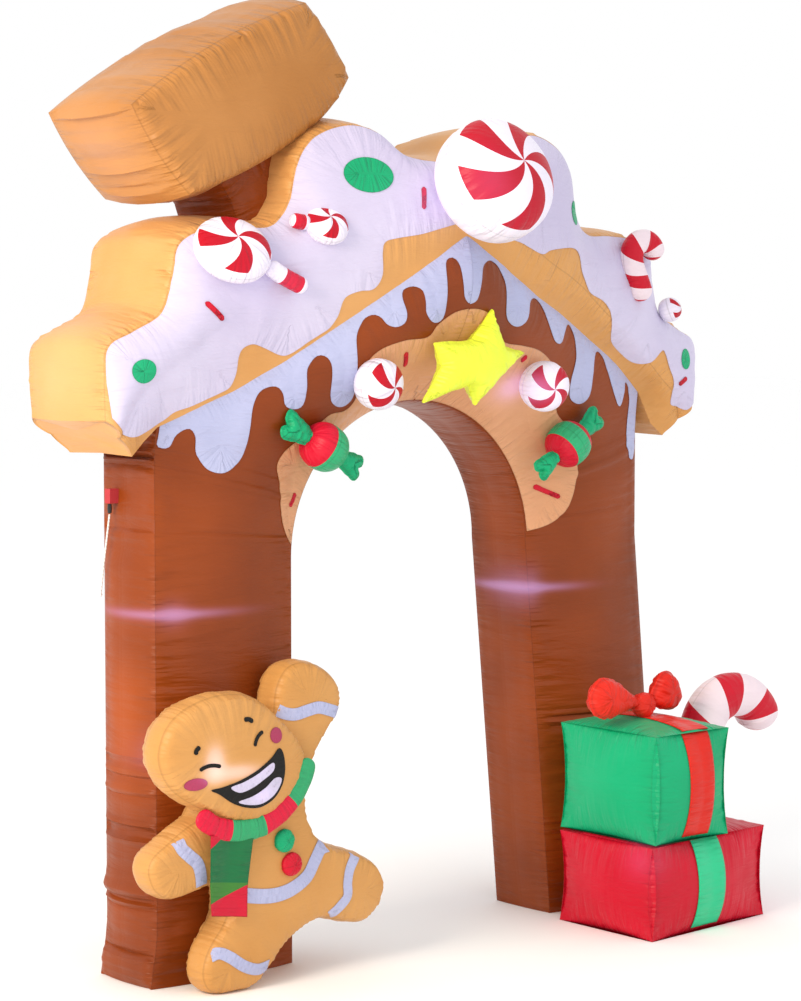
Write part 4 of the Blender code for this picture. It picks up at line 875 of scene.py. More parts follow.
GABLE_RIGHT_EDGE = [
    (0.0004, 2.105), (0.028, 2.118), (0.042, 2.170), (0.058, 2.225), (0.105, 2.245), (0.150, 2.225),
    (0.178, 2.170), (0.185, 2.075), (0.220, 2.039), (0.264, 2.033), (0.306, 2.057), (0.325, 2.110),
    (0.360, 2.125), (0.400, 2.105), (0.440, 2.040), (0.478, 1.985), (0.520, 1.975), (0.545, 2.010),
    (0.575, 2.038), (0.605, 2.015), (0.620, 1.930), (0.602, 1.851), (0.613, 1.790), (0.664, 1.767),
    (0.712, 1.792), (0.730, 1.870), (0.741, 1.925), (0.765, 1.945), (0.805, 1.920), (0.830, 1.859),
    (0.868, 1.787), (0.900, 1.752), (0.925, 1.790), (0.940, 1.838), (0.962, 1.790), (0.960, 1.640),
    (0.978, 1.575), (1.008, 1.568), (1.022, 1.640), (1.022, 1.740)]
BAND_LEFT_EDGE = [
    (-0.0004, 2.090), (-0.055, 2.078), (-0.112, 2.040), (-0.140, 2.000), (-0.225, 1.990), (-0.305, 1.965),
    (-0.350, 1.925), (-0.360, 1.875), (-0.345, 1.800), (-0.370, 1.768), (-0.430, 1.758), (-0.475, 1.722),
    (-0.525, 1.686), (-0.583, 1.645), (-0.602, 1.600), (-0.585, 1.550), (-0.575, 1.490), (-0.560, 1.420),
    (-0.530, 1.365), (-0.509, 1.345)]
BAND_RIGHT_EDGE = [
    (0.509, 1.335), (0.585, 1.357), (0.654, 1.407), (0.689, 1.495), (0.693, 1.570), (0.672, 1.640),
    (0.620, 1.695), (0.565, 1.740), (0.545, 1.800), (0.520, 1.860), (0.470, 1.915), (0.393, 1.953),
    (0.303, 1.969), (0.208, 1.982), (0.165, 2.025), (0.110, 2.070), (0.050, 2.088), (0.0004, 2.090)]


# %% Icing on the roof and gable, band round the opening
def roof_rim(side):
    """The roof's upper seam, 4 mm inside it, from peak to eave."""
    rows = roof_half(side)[:ON_GABLE * ROOF_FINE + 1]
    top, crease = rows[:, 6:8], rows[:, 3:5]
    line = top + unit_rows(crease - top) * 0.004
    line[0, 0] = side * 0.003
    return line


def clip_above(line, side):
    """The line, kept 10 mm above the place where the roof sits on the gable."""
    floor = np.interp(np.abs(line[:, 0]), *JUNCTION[side].T) + 0.010
    line[:, 1] = np.where(np.abs(line[:, 0]) < LEG_OUT, np.maximum(line[:, 1], floor), line[:, 1])
    return line


def gable_head(side):
    """The gable's upper edge, 1 mm under the roof's base, from the centre seam outwards."""
    across = np.clip(ROOF[:ON_GABLE, 0], CENTRE_GAP, 1.022)
    return straight_line(np.stack([side * across, np.interp(across, *JUNCTION[side].T) - 0.001], 1))


def opening_arc(side):
    """The curved top of the opening, 4 mm inside its seam, from the spring to the crown."""
    turn = np.radians(np.linspace(6, 89.95, 80))
    half, rise = OPEN_HALF + 0.004, CROWN_RISE + 0.004
    return np.stack([side * half * np.cos(turn), SPRING_Z + rise * np.sin(turn)], 1)


def joined(*lines):
    """The lines end to end, without points that repeat."""
    line = np.concatenate(lines)
    return line[np.linalg.norm(line - np.roll(line, 1, axis=0), axis=1) > 0.0015]


# first word, traced edges left and right, the line that closes each side, base, cloth, straight rim
for word, edges, closing, base, material, straight_rim in (
        ("roof_icing", (ICING_LEFT_EDGE, ICING_RIGHT_EDGE), roof_rim, roof, "white", False),
        ("gable_icing", (GABLE_LEFT_EDGE, GABLE_RIGHT_EDGE), gable_head, arch, "bluish white", True),
        ("arch_band", (BAND_LEFT_EDGE, BAND_RIGHT_EDGE), opening_arc, arch, "peach", True)):
    for side, hand, edge in ((-1, "_left", edges[0]), (1, "_right", edges[1])):
        line = even(edge, 0.008, closed=False)
        line = clip_above(line, side) if base == roof else line
        outline = joined(line, closing(side)[::-side])
        applique(word + "_sheet" + hand, outline, base, cloth[material], replaces=word + hand,
                 straight_rim=straight_rim)
print("sheets on roof and gable done")

# %% [markdown]
# ## Sweets
# Each sweet is a small air bag. The round ones are two round panels; the white one carries curved red petals
# that meet at the middle. The surface is a disc of revolution with a full, soft profile: distance from the
# axis and height are powers of cosine and sine. Its UV map holds the angle round the axis and the way from
# pole to pole, so a swirl is only a slanted stripe in UV.


# %% Swirl and stripe patterns
# added to a phase so that it is above zero before its fraction is taken
WHOLE_TURNS = 8.0


def swirl(petals, twist, reach, share=0.5, shift=0.0):
    """Red petals where the fraction of petals x turn, slanted by the way out from the pole, is under
    share."""
    def pattern(tree, turn, out):
        slant = add(tree, "Math", {0: out, 1: twist, 2: shift + WHOLE_TURNS}, operation="MULTIPLY_ADD")
        turn = add(tree, "Math", {0: turn, 1: petals, 2: slant}, operation="MULTIPLY_ADD")
        turn = add(tree, "Math", {0: turn}, operation="FRACT")
        petal = add(tree, "Math", {0: turn, 1: share}, operation="LESS_THAN")
        near = add(tree, "Math", {0: out, 1: reach}, operation="LESS_THAN")
        mask = add(tree, "Math", {0: petal, 1: near}, operation="MULTIPLY")
        return add(tree, "Mix", {0: mask, 6: linear("#E6E0EE"), 7: linear("#B40420")}, 2, data_type="RGBA")
    return pattern


def hoops(count, share, shift):
    """Red stripes slanted round a tube: where the fraction of count x way + turn is under share."""
    def pattern(tree, turn, way):
        phase = add(tree, "Math", {0: turn, 1: shift + WHOLE_TURNS}, operation="ADD")
        phase = add(tree, "Math", {0: way, 1: count, 2: phase}, operation="MULTIPLY_ADD")
        phase = add(tree, "Math", {0: phase}, operation="FRACT")
        mask = add(tree, "Math", {0: phase, 1: share}, operation="LESS_THAN")
        return add(tree, "Mix", {0: mask, 6: linear("#E6D4DC"), 7: linear("#C00A26")}, 2, data_type="RGBA")
    return pattern


def blocks(limits, first, second):
    """Colours that change over at each of the limits along the piece."""
    def pattern(tree, _, way):
        mask = 0.0
        for number, limit in enumerate(limits):
            past = add(tree, "Math", {0: way, 1: limit}, operation="GREATER_THAN")
            mask = add(tree, "Math", {0: past, 1: (-1.0) ** number, 2: mask}, operation="MULTIPLY_ADD")
        return add(tree, "Mix", {0: mask, 6: linear(first), 7: linear(second)}, 2, data_type="RGBA")
    return pattern


# word, what it is on, slot, pattern, painted glow
PATTERNED = [
    ("five petals", "white and red", "white_nylon", swirl(5, -1.67, 0.42, 0.5, 0.1), 0.06),
    ("four petals", "white and red", "white_nylon", swirl(4, -1.4, 0.40, 0.42, 0.2), 0.05),
    ("lollipop", "white and red", "white_nylon", swirl(4, -1.2, 0.42, 0.42, 0.55), 0.05),
    ("left candy", "red and green", "green_nylon", blocks((0.45,), "#C8102E", "#2FA872"), 0.03),
    ("right candy", "red and green", "red_nylon", blocks((0.35, 0.65), "#C8102E", "#2FA872"), 0.03),
    ("cane", "white and red", "red_nylon", hoops(5.0, 0.45, 0.1), 0.06),
    ("short cane", "white and red", "red_nylon", hoops(4.0, 0.5, 0.3), 0.06),
    ("stick", "white and red", "white_nylon", blocks((0.40, 0.78), "#E6E0EE", "#C8102E"), 0.04),
    ("scarf", "red and green", "red_nylon", blocks((0.27, 0.50, 0.72), "#CE1438", "#2F9C66"), 0.06),
]
for word, colours, slot, pattern, glow in PATTERNED:
    cloth[word] = taffeta(f"{colours} nylon taffeta, {word}", slot, pattern, glow)


# %% Round sweets
def sweet(name, replaces, material, centre, radius, thick, power, facing, seed=1, gather=0.0, up=(0, 0, 1),
          padded=0.9):
    """Disc of revolution, with a from pole to pole: the distance from the axis is radius cos(a)^(2/power),
    and the place along it thick sin(a)^(2/power)."""
    axis = np.array(facing, float) / np.linalg.norm(facing)
    side = np.cross(axis, up)
    side /= np.linalg.norm(side)
    top = np.cross(side, axis)
    rows, count = 57, 96
    angle = np.linspace(np.pi / 2, -np.pi / 2, rows)
    out = radius * np.clip(np.cos(angle), 0, 1) ** (2 / power)
    high = thick * np.sign(angle) * np.abs(np.sin(angle)) ** (2 / power)
    turn = np.arange(count) / count
    far = distance_along(np.stack([out, high], 1))
    gap = np.abs(far - np.interp(0.0, -angle, far))
    wave = ripple(turn * 2 * np.pi * radius, 0.022, seed) * np.minimum(1, np.minimum(turn, 1 - turn) * 20)
    rim = fade(gap, 0.020, 0.004)[:, None] * wave[None] * gather
    rays = np.cos(turn * 2 * np.pi)[:, None] * side + np.sin(turn * 2 * np.pi)[:, None] * top
    rings = np.array(centre) + axis * (high[:, None] + rim * np.sign(high)[:, None])[..., None] \
        + (out[:, None] + rim)[..., None] * rays[None]
    seam = np.stack([np.tile(turn * 2 * np.pi * radius, rows), np.repeat(gap, count)], 1)
    return loft(name, rings, material, replaces=replaces, ends=(), seam=seam)


# name, node, cloth, centre, radius, half thickness, fullness, facing, seed, seam folds
for name, node, material, *shape in (
        ("apex_mint_bag", "apex_mint", "five petals", (-0.010, -0.545, 2.490), 0.196, 0.145, 2.5,
         (0.05, -0.90, 0.41), 31, 0.003),
        ("left_mint_bag", "mint_left", "four petals", (-0.322, -0.352, 1.853), 0.081, 0.070, 2.3,
         (0.15, -0.97, -0.15), 32, 0.0015),
        ("right_mint_bag", "mint_right", "four petals", (0.390, -0.352, 1.835), 0.084, 0.070, 2.3,
         (-0.20, -0.97, -0.15), 33, 0.0015),
        ("large_lollipop_bag", "lollipop_large", "lollipop", (-0.853, -0.300, 2.266), 0.122, 0.060, 2.3,
         (-0.15, -0.72, 0.66), 34, 0.0015),
        ("small_lollipop_bag", "lollipop_small", "lollipop", (-0.523, -0.342, 2.345), 0.070, 0.042, 2.2,
         (-0.15, -0.72, 0.66), 35, 0.001),
        ("roof_mint_bag", "roof_mint", "four petals", (1.085, -0.250, 2.088), 0.042, 0.040, 2.2,
         (0.55, -0.75, 0.30), 36, 0.001),
        ("left_candy_core", "candy_left", "left candy", (-0.470, -0.262, 1.657), 0.076, 0.074, 2.4,
         (-0.88, 0.0, 0.47), 37, 0.002, (0, 1, 0)),
        ("right_candy_core", "candy_right", "right candy", (0.586, -0.262, 1.634), 0.076, 0.074, 2.4,
         (0.82, 0.0, 0.57), 38, 0.002, (0, 1, 0))):
    sweet(name, node, cloth[material], *shape)

# %% Twisted ends of the candies
# outline of a twisted end: share of its length, share of its half width
FAN = np.array([(0, 0.30), (0.45, 0.72), (0.9, 1.0), (1.0, 0.45), (0.86, 0.05), (1.0, -0.42), (0.92, -1.0),
                (0.45, -0.70), (0, -0.30)])
# name, start x, z, angle, length, width
TWISTS = [
    ("candy_left_twist_a", -0.518, 1.682, 152, 0.120, 0.085),
    ("candy_left_twist_b", -0.425, 1.632, -28, 0.110, 0.075),
    ("candy_right_twist_a", 0.630, 1.660, 35, 0.120, 0.080),
    ("candy_right_twist_b", 0.542, 1.606, 215, 0.112, 0.070)]
for name, x, z, angle, length, width in TWISTS:
    ahead = np.array([math.cos(math.radians(angle)), math.sin(math.radians(angle))])
    aside = np.array([-ahead[1], ahead[0]])
    fan = np.array([x, z]) + FAN[:, :1] * length * ahead + FAN[:, 1:] * width / 2 * aside
    cushion(name + "_cloth", fan, -0.262, 0.006, 0.018, cloth["green"], 0.005, 41, 0.006, 300, replaces=name)

# %% Star
STAR = [(0.098, 2.082), (0.128, 1.968), (0.232, 1.947), (0.103, 1.862), (0.026, 1.786), (0.0, 1.850),
        (-0.188, 1.798), (-0.108, 1.906), (-0.140, 1.978), (0.016, 1.988)]
cushion("star_bag", bowed(STAR, 10, -0.015), -0.415, 0.012, 0.060, cloth["yellow"], 0.008, 51, 0.005, 600,
        smooth=False, replaces="star", sharp=60)
print("sweets done")


# %% Tubes: canes, sticks and the scarf
def tube(name, path, radius, material, replaces, count=48, rows=120, gather=0.0, seams=None,
         flat=1.0):
    """A round section, or a flat one, carried along a smooth path; near each end its radius falls as a
    quarter circle. The section's frame keeps to the plane that the path lies in."""
    line = curve(path, rows * 3)
    far = distance_along(line)
    where = far[-1] * eased(rows)
    line = np.stack([np.interp(where, far, line[:, k]) for k in range(3)], 1)
    along = unit_rows(np.gradient(line, axis=0))
    plane = np.linalg.svd(line - line.mean(0))[2][2] if len(path) > 3 else np.array([0.0, 1.0, 0.0])
    side = unit_rows(plane - along * (along @ plane)[:, None])
    other = np.cross(along, side)
    from_end = np.clip(np.minimum(where, far[-1] - where) / (radius * 0.9), 0, 1)
    ease = np.sqrt(np.clip(1 - (1 - from_end) ** 2, 0, 1))
    turn = np.arange(count) / count * 2 * np.pi
    fold = 1 + gather * ripple(where, 0.03, 61)[:, None] * np.cos(turn * 2)[None]
    rings = line[:, None] + (radius * ease[:, None] * fold)[..., None] * (
        np.cos(turn)[None, :, None] * flat * side[:, None] + np.sin(turn)[None, :, None] * other[:, None])
    seams = (count // 4, 3 * count // 4) if seams is None else seams
    return loft(name, rings, material, seams, replaces=replaces, ends=())


GIFT_CANE = [(1.085, 0.270), (1.080, 0.420), (1.072, 0.560), (1.083, 0.640), (1.120, 0.700), (1.180, 0.733),
             (1.250, 0.738), (1.315, 0.715), (1.362, 0.665), (1.385, 0.605)]
ROOF_CANE = [(0.905, 2.120), (0.875, 2.185), (0.848, 2.245), (0.852, 2.295), (0.890, 2.322), (0.935, 2.310),
             (0.965, 2.262)]
LARGE_STICK = [(-0.752, -0.343, 2.222), (-0.700, -0.347, 2.190), (-0.612, -0.352, 2.152)]
SMALL_STICK = [(-0.575, -0.325, 2.352), (-0.610, -0.322, 2.356), (-0.645, -0.318, 2.361)]
gift_path = [(x, -0.420, z) for x, z in GIFT_CANE]
roof_path = [(x, -0.300, z) for x, z in ROOF_CANE]
tube("gift_cane_tube", gift_path, 0.077, cloth["cane"], "gift_cane", gather=0.02)
tube("roof_cane_tube", roof_path, 0.040, cloth["short cane"], "roof_cane", gather=0.02)
tube("large_lollipop_stick", LARGE_STICK, 0.027, cloth["stick"], "lollipop_large_stick", 32, 50)
tube("small_lollipop_stick", SMALL_STICK, 0.024, cloth["stick"], "lollipop_small_stick", 32, 40)

# %% [markdown]
# ## The biscuit figure
# A separate air bag stands against the left leg: one chamber for the body with its arms and legs, and one
# for the head, both biscuit brown. Icing strips, buttons and the face are sewn on. The face is a plain
# laughing one.

# %% Figure bags
FIGURE = [
    (-0.999, 0.551), (-1.045, 0.529), (-1.082, 0.509), (-1.120, 0.485), (-1.154, 0.465), (-1.177, 0.444),
    (-1.188, 0.414), (-1.181, 0.382), (-1.163, 0.350), (-1.130, 0.325), (-1.087, 0.320), (-1.028, 0.330),
    (-0.972, 0.342), (-0.924, 0.337), (-0.898, 0.305), (-0.893, 0.268), (-0.900, 0.234), (-0.923, 0.198),
    (-0.955, 0.160), (-0.978, 0.121), (-0.989, 0.080), (-0.984, 0.045), (-0.965, 0.018), (-0.926, 0.003),
    (-0.874, 0.003), (-0.820, 0.003), (-0.773, 0.026), (-0.743, 0.060), (-0.692, 0.113), (-0.656, 0.140),
    (-0.612, 0.163), (-0.563, 0.178), (-0.522, 0.181), (-0.481, 0.169), (-0.427, 0.154), (-0.373, 0.146),
    (-0.337, 0.159), (-0.301, 0.192), (-0.282, 0.240), (-0.286, 0.281), (-0.309, 0.317), (-0.347, 0.346),
    (-0.393, 0.368), (-0.447, 0.387), (-0.488, 0.400), (-0.529, 0.423), (-0.562, 0.450), (-0.586, 0.485),
    (-0.598, 0.525), (-0.604, 0.571), (-0.597, 0.621), (-0.579, 0.677), (-0.545, 0.731), (-0.508, 0.779),
    (-0.477, 0.818), (-0.460, 0.859), (-0.463, 0.904), (-0.486, 0.938), (-0.522, 0.967), (-0.569, 0.987),
    (-0.617, 0.994), (-0.661, 0.982), (-0.687, 0.957), (-0.703, 0.927), (-0.712, 0.891), (-0.718, 0.840),
    (-0.745, 0.785), (-0.800, 0.735), (-0.870, 0.680), (-0.930, 0.630), (-0.975, 0.590)]
HEAD = [
    (-1.188, 0.762), (-1.174, 0.820), (-1.145, 0.862), (-1.100, 0.894), (-1.047, 0.914), (-0.992, 0.926),
    (-0.935, 0.929), (-0.880, 0.923), (-0.832, 0.907), (-0.793, 0.884), (-0.760, 0.855), (-0.728, 0.825),
    (-0.698, 0.797), (-0.671, 0.767), (-0.652, 0.733), (-0.649, 0.695), (-0.663, 0.652), (-0.689, 0.612),
    (-0.727, 0.576), (-0.775, 0.549), (-0.828, 0.536), (-0.880, 0.534), (-0.930, 0.543), (-0.982, 0.564),
    (-1.040, 0.594), (-1.097, 0.627), (-1.142, 0.662), (-1.174, 0.708)]
figure_body, figure_head = (
    cushion(name, outline, y, wall, crown, cloth["pale biscuit"], 0.010, seed, gather, 900, 0.75, node)
    for name, outline, y, wall, crown, seed, gather, node in (
        ("figure_body_bag", FIGURE, -0.276, 0.042, 0.048, 71, 0.0045, "figure_body"),
        ("figure_head_bag", HEAD, -0.336, 0.036, 0.060, 73, 0.0040, "figure_head")))


# %% Face and icing
def ribbon(points, width, step=0.006, squared=False):
    """Outline of a strip round a smooth middle line, its ends rounded or squared."""
    line = even(points, step, closed=False)
    along = np.gradient(line, axis=0)
    across = unit_rows(np.stack([-along[:, 1], along[:, 0]], 1))
    far = distance_along(line)
    from_end = np.clip(np.minimum(far, far[-1] - far) / (width * 0.35), 0, 1)
    half = width / 2 * np.sqrt(np.clip(1 - (1 - from_end) ** 2, 1.0 if squared else 0.10, 1))[:, None]
    return np.concatenate([line + across * half, (line - across * half)[::-1]])


def kept_inside(points, outline, margin):
    """The points, each moved to margin inside the outline if it lies nearer to it or outside."""
    gap, _, near = rim_data(points, outline)
    inside = within(points, outline)[:, None]
    gap = gap[:, None]
    moved = near + (points - near) * np.where(inside, 1, -1) / np.maximum(gap, 1e-9) * margin
    return np.where((gap < margin) | ~inside, moved, points)


# name, middle line x, z pairs, width
FIGURE_ICING = [
    ("icing_arm_raised", [(-0.714, 0.858), (-0.694, 0.846), (-0.658, 0.840), (-0.611, 0.848), (-0.566, 0.853),
                          (-0.518, 0.840), (-0.474, 0.826)], 0.038),
    ("icing_arm_lowered", [(-1.092, 0.498), (-1.084, 0.472), (-1.058, 0.446), (-1.030, 0.417),
                           (-1.012, 0.352)], 0.040),
    ("icing_belly", [(-0.862, 0.304), (-0.800, 0.293), (-0.740, 0.290), (-0.681, 0.301), (-0.623, 0.331),
                     (-0.588, 0.376), (-0.556, 0.410), (-0.522, 0.416)], 0.046),
    ("icing_leg", [(-0.408, 0.368), (-0.441, 0.330), (-0.454, 0.287), (-0.454, 0.244), (-0.484, 0.213),
                   (-0.516, 0.188)], 0.036),
    ("icing_foot", [(-0.974, 0.126), (-0.945, 0.134), (-0.911, 0.118), (-0.859, 0.083), (-0.805, 0.064),
                    (-0.756, 0.070)], 0.036),
]
body_rim = even(FIGURE, 0.006)
for name, line, width in FIGURE_ICING:
    strip = kept_inside(ribbon(line, width, squared=True), body_rim, 0.004)
    applique(name + "_strip", strip, figure_body, cloth["bluish white"], step=0.006, replaces=name)
MOUTH = [(-1.030, 0.654), (-0.990, 0.660), (-0.930, 0.674), (-0.864, 0.699), (-0.812, 0.729), (-0.778, 0.756),
         (-0.760, 0.735), (-0.754, 0.685), (-0.764, 0.640), (-0.792, 0.603), (-0.840, 0.582), (-0.895, 0.586),
         (-0.950, 0.606), (-1.000, 0.638)]
TEETH_UPPER = [(-0.962, 0.656), (-0.916, 0.668), (-0.864, 0.687), (-0.806, 0.715), (-0.804, 0.690),
               (-0.847, 0.664), (-0.888, 0.645), (-0.930, 0.637)]
TEETH_LOWER = [(-0.930, 0.608), (-0.880, 0.620), (-0.834, 0.640), (-0.797, 0.666), (-0.770, 0.663),
               (-0.776, 0.638), (-0.800, 0.611), (-0.840, 0.593), (-0.888, 0.594)]
applique("mouth_sheet", MOUTH, figure_head, cloth["black"], step=0.007, replaces="mouth", smooth=True)
applique("upper_teeth_sheet", TEETH_UPPER, figure_head, cloth["white"], 0.0032, 0.006, "teeth_upper", True)
applique("lower_teeth_sheet", TEETH_LOWER, figure_head, cloth["white"], 0.0032, 0.006, "teeth_lower", True)
# name, middle line x, z pairs, width, node
LINES = [
    ("closed_eye_left", [(-1.074, 0.719), (-1.059, 0.726), (-1.041, 0.730), (-1.021, 0.729),
                         (-1.001, 0.724)], 0.012, "eye_left"),
    ("closed_eye_right", [(-0.874, 0.772), (-0.870, 0.785), (-0.863, 0.797), (-0.852, 0.807),
                          (-0.839, 0.813)], 0.012, "eye_right"),
    ("brow_left", [(-1.087, 0.767), (-1.085, 0.780), (-1.073, 0.790)], 0.014, None),
    ("brow_right", [(-0.908, 0.855), (-0.891, 0.855), (-0.875, 0.846)], 0.014, None)]
for name, line, width, node in LINES:
    applique(name, ribbon(line, width, 0.003), figure_head, cloth["black"], step=0.004, replaces=node)


def disc(x, z, half_x, half_z):
    """Outline of an ellipse."""
    angle = np.linspace(0, 2 * np.pi, 24, endpoint=False)
    return np.stack([x + half_x * np.cos(angle), z + half_z * np.sin(angle)], 1)


applique("cheek_left_sheet", disc(-1.083, 0.677, 0.038, 0.019), figure_head, cloth["pink"], step=0.006,
         replaces="cheek_left", smooth=True)
applique("cheek_right_sheet", disc(-0.786, 0.796, 0.025, 0.024), figure_head, cloth["pink"], step=0.006,
         replaces="cheek_right", smooth=True)
for word, x, z, radius, seed in (("green", -0.716, 0.456, 0.036, 75), ("red", -0.688, 0.379, 0.037, 76)):
    sweet(word + "_button_bag", "button_" + word, cloth[word], (x, -0.372, z), radius, 0.020, 2.2, (0, -1, 0),
          seed, 0.001)

# %% Scarf
COLLAR = [(-1.060, 0.582), (-1.019, 0.549), (-0.977, 0.528), (-0.924, 0.516), (-0.865, 0.513),
          (-0.806, 0.523), (-0.751, 0.549), (-0.708, 0.583), (-0.675, 0.622), (-0.653, 0.665),
          (-0.641, 0.708)]
collar_path = [(x, -0.396, z) for x, z in COLLAR]
tube("scarf_ring", collar_path, 0.033, cloth["scarf"], "scarf_collar", gather=0.03, flat=0.42)


def tail_pattern(tree, across, down):
    """The upper part is dark green where two layers lie over each other, with a red corner; the rest is
    red."""
    low, corner = (add(tree, "Math", {0: across, 1: slope, 2: down}, operation="MULTIPLY_ADD")
                   for slope in (0.25, 0.5))
    low = add(tree, "Math", {0: low, 1: 0.85}, operation="LESS_THAN")
    corner = add(tree, "Math", {0: corner, 1: 0.16}, operation="GREATER_THAN")
    mask = add(tree, "Math", {0: low, 1: corner}, operation="MULTIPLY")
    single = add(tree, "Math", {0: down, 1: 0.58}, operation="GREATER_THAN")
    green = add(tree, "Mix", {0: single, 6: linear("#166A3C"), 7: linear("#3C7A30")}, 2, data_type="RGBA")
    return add(tree, "Mix", {0: mask, 6: linear("#C41030"), 7: green}, 2, data_type="RGBA")


tail_cloth = taffeta("red and green nylon taffeta, scarf end", "red_nylon", tail_pattern, 0.04)


def hanging_tail():
    """A strip that leans on the belly: depth falls toward it over the first 60 percent, with two soft
    folds."""
    rows, count = 60, 30
    s, a = np.meshgrid(np.linspace(0, 1, rows), np.linspace(0, 1, count), indexing="ij")
    x = -1.020 + 0.018 * s + (0.160 - 0.028 * s) * a
    y = -0.3995 + 0.020 * np.minimum(1, s * 1.6)
    y = y - 0.003 * np.cos(a * 2 * np.pi) - 0.002 * np.sin(a * 9 + s * 4)
    z = 0.512 - 0.250 * s - 0.020 * a
    verts = np.stack([x, y - 0.0012, z], -1).reshape(-1, 3)
    gap = np.minimum(np.minimum(a, 1 - a) * 0.15, (1 - s) * 0.25)
    thing = make("scarf_end", verts, grid_quads(rows, count), tail_cloth, np.stack([a.ravel(), s.ravel()], 1),
                 np.stack([(s * 0.25).ravel(), gap.ravel()], 1), replaces="scarf_tail")
    area = surface_area(thing)
    # 0.58 is the width over the length of the cut strip
    thicken(thing, 0.0014, 0.0)


hanging_tail()
print("figure done")

# %% [markdown]
# ## Gifts
# Two sewn boxes full of air stand at the right leg. Pressure pushes each face out and pulls the edges in, so
# every edge curves inward between its two corners. A band of the other colour runs over the front and the
# top of each, and the upper one wears a bow of two small bags and a knot.


# %% Padded boxes
# low corner, high corner, bulge, how far the front and back run backwards per metre to the right
RED_BOX = (np.array([0.580, -0.680, 0.0]), np.array([1.180, -0.235, 0.312]), 0.032, 0.09)
GREEN_BOX = (np.array([0.583, -0.690, 0.322]), np.array([0.930, -0.235, 0.683]), 0.032, 0.0)


def padded_point(unit, low, high, bulge, turn):
    """A point of the unit cube's skin on the padded box. A face moves out by bulge times (product of its two
    parabolas)^0.7, and its edges move in by 0.7 bulge times the parabola along the edge. The underside stays
    flat."""
    point = low + (high - low) * unit
    swell = 4 * unit * (1 - unit)
    for axis in range(3):
        one, two = [k for k in range(3) if k != axis]
        u, v = swell[..., one], swell[..., two]
        lift = bulge * np.clip(u * v, 0, 1) ** 0.7
        draw = 0.7 * bulge * (u * (1 - v) + v * (1 - u))
        move = lift - draw * (axis != 2)
        point[..., axis] += np.where(unit[..., axis] > 0.9999, move, 0)
        point[..., axis] -= np.where(unit[..., axis] < 0.0001, move, 0) * (axis != 2)
    point[..., 1] += turn * (point[..., 0] - low[0])
    return point


def gift(name, box, material, seed, replaces):
    """Six square grids on the unit cube, moved to the padded box, with small gathers near the edges."""
    n = 41
    size = box[1] - box[0]
    a, b = np.meshgrid(eased(n), eased(n), indexing="ij")
    points, quads, seams = [], [], []
    for axis in range(3):
        one, two = [k for k in range(3) if k != axis]
        far_a, far_b = np.minimum(a, 1 - a) * size[one], np.minimum(b, 1 - b) * size[two]
        gap, run = np.minimum(far_a, far_b), np.where(far_a < far_b, b * size[two], a * size[one] + 3.0)
        for level in (0.0, 1.0):
            unit = np.zeros((n, n, 3))
            unit[..., axis], unit[..., one], unit[..., two] = level, a, b
            point = padded_point(unit, *box)
            if axis != 2 or level:
                fold = fade(gap, 0.035, 0.012) * ripple(run, 0.035, seed + axis)
                point[..., axis] += fold * 0.005 * (1 if level else -1)
            quad = grid_quads(n, n)
            quad = quad if (level > 0.5) != (axis == 1) else quad[:, ::-1]
            seams.append(np.stack([run.ravel(), gap.ravel()], 1)[quad].reshape(-1, 2))
            quads.append(quad + len(points) * n * n)
            points.append(point.reshape(-1, 3))
    points, quads = np.concatenate(points), np.concatenate(quads)
    # one vertex for the two or three grid points that share a place on an edge
    _, first, place = np.unique(points.round(6), axis=0, return_index=True, return_inverse=True)
    seam = np.concatenate(seams)
    return make(name, points[first], place.reshape(-1)[quads], material, None, seam, 50, replaces)


def gift_band(name, box, x_from, x_to, z_from, y_to, material, replaces, base):
    """A strip over the front and the top of the padded box, 2.6 mm off it."""
    low, size = box[0], box[1] - box[0]
    front_rows, top_rows, count = 40, 49, 16
    up = np.linspace((z_from - low[2]) / size[2], 1, front_rows)
    rear = np.linspace(0, (y_to - low[1]) / size[1], top_rows + 1)[1:]
    across = np.linspace((x_from - low[0]) / size[0], (x_to - low[0]) / size[0], count)
    path = np.concatenate([np.stack([0 * up, up], 1), np.stack([rear, 0 * rear + 1], 1)])
    unit = np.zeros((len(path), count, 3))
    unit[..., 0], unit[..., 1], unit[..., 2] = across[None], path[:, :1], path[:, 1:]
    front = (np.arange(len(path)) < front_rows)[:, None, None]
    point = padded_point(unit, *box) + np.where(front, [0, -1.0, 0.1], [0, -0.1, 1.0]) * 0.0026
    travel = distance_along(point[:, count // 2])
    gap = np.minimum(np.arange(count), np.arange(count)[::-1]) / (count - 1) * (x_to - x_from)
    seam = np.stack([np.repeat(travel, count), np.tile(gap, len(path))], 1)
    faces = grid_quads(len(path), count)[:, [0, 3, 2, 1]]
    thing = make(name, point.reshape(-1, 3), faces, material, None, seam, 50, replaces)
    area, length = surface_area(thing), float(travel[-1])
    thicken(thing, 0.0015, 0.0)
    print(f"  {name}: cut {area / length:.3f} x {length:.3f} m")


red_gift = gift("red_gift_bag", RED_BOX, cloth["red"], 81, "gift_red")
green_gift = gift("green_gift_bag", GREEN_BOX, cloth["green"], 91, "gift_green")
# name, box, x from and to, z from, y to, cloth, node, what it lies on
for name, *rest, material, node, base in (
        ("green_band_sheet", RED_BOX, 0.790, 0.930, 0.012, -0.300, "bright green", "gift_red_band",
         red_gift),
        ("red_band_sheet", GREEN_BOX, 0.715, 0.837, 0.334, -0.260, "bright red", "gift_green_band",
         green_gift)):
    gift_band(name, *rest, cloth[material], node, base)

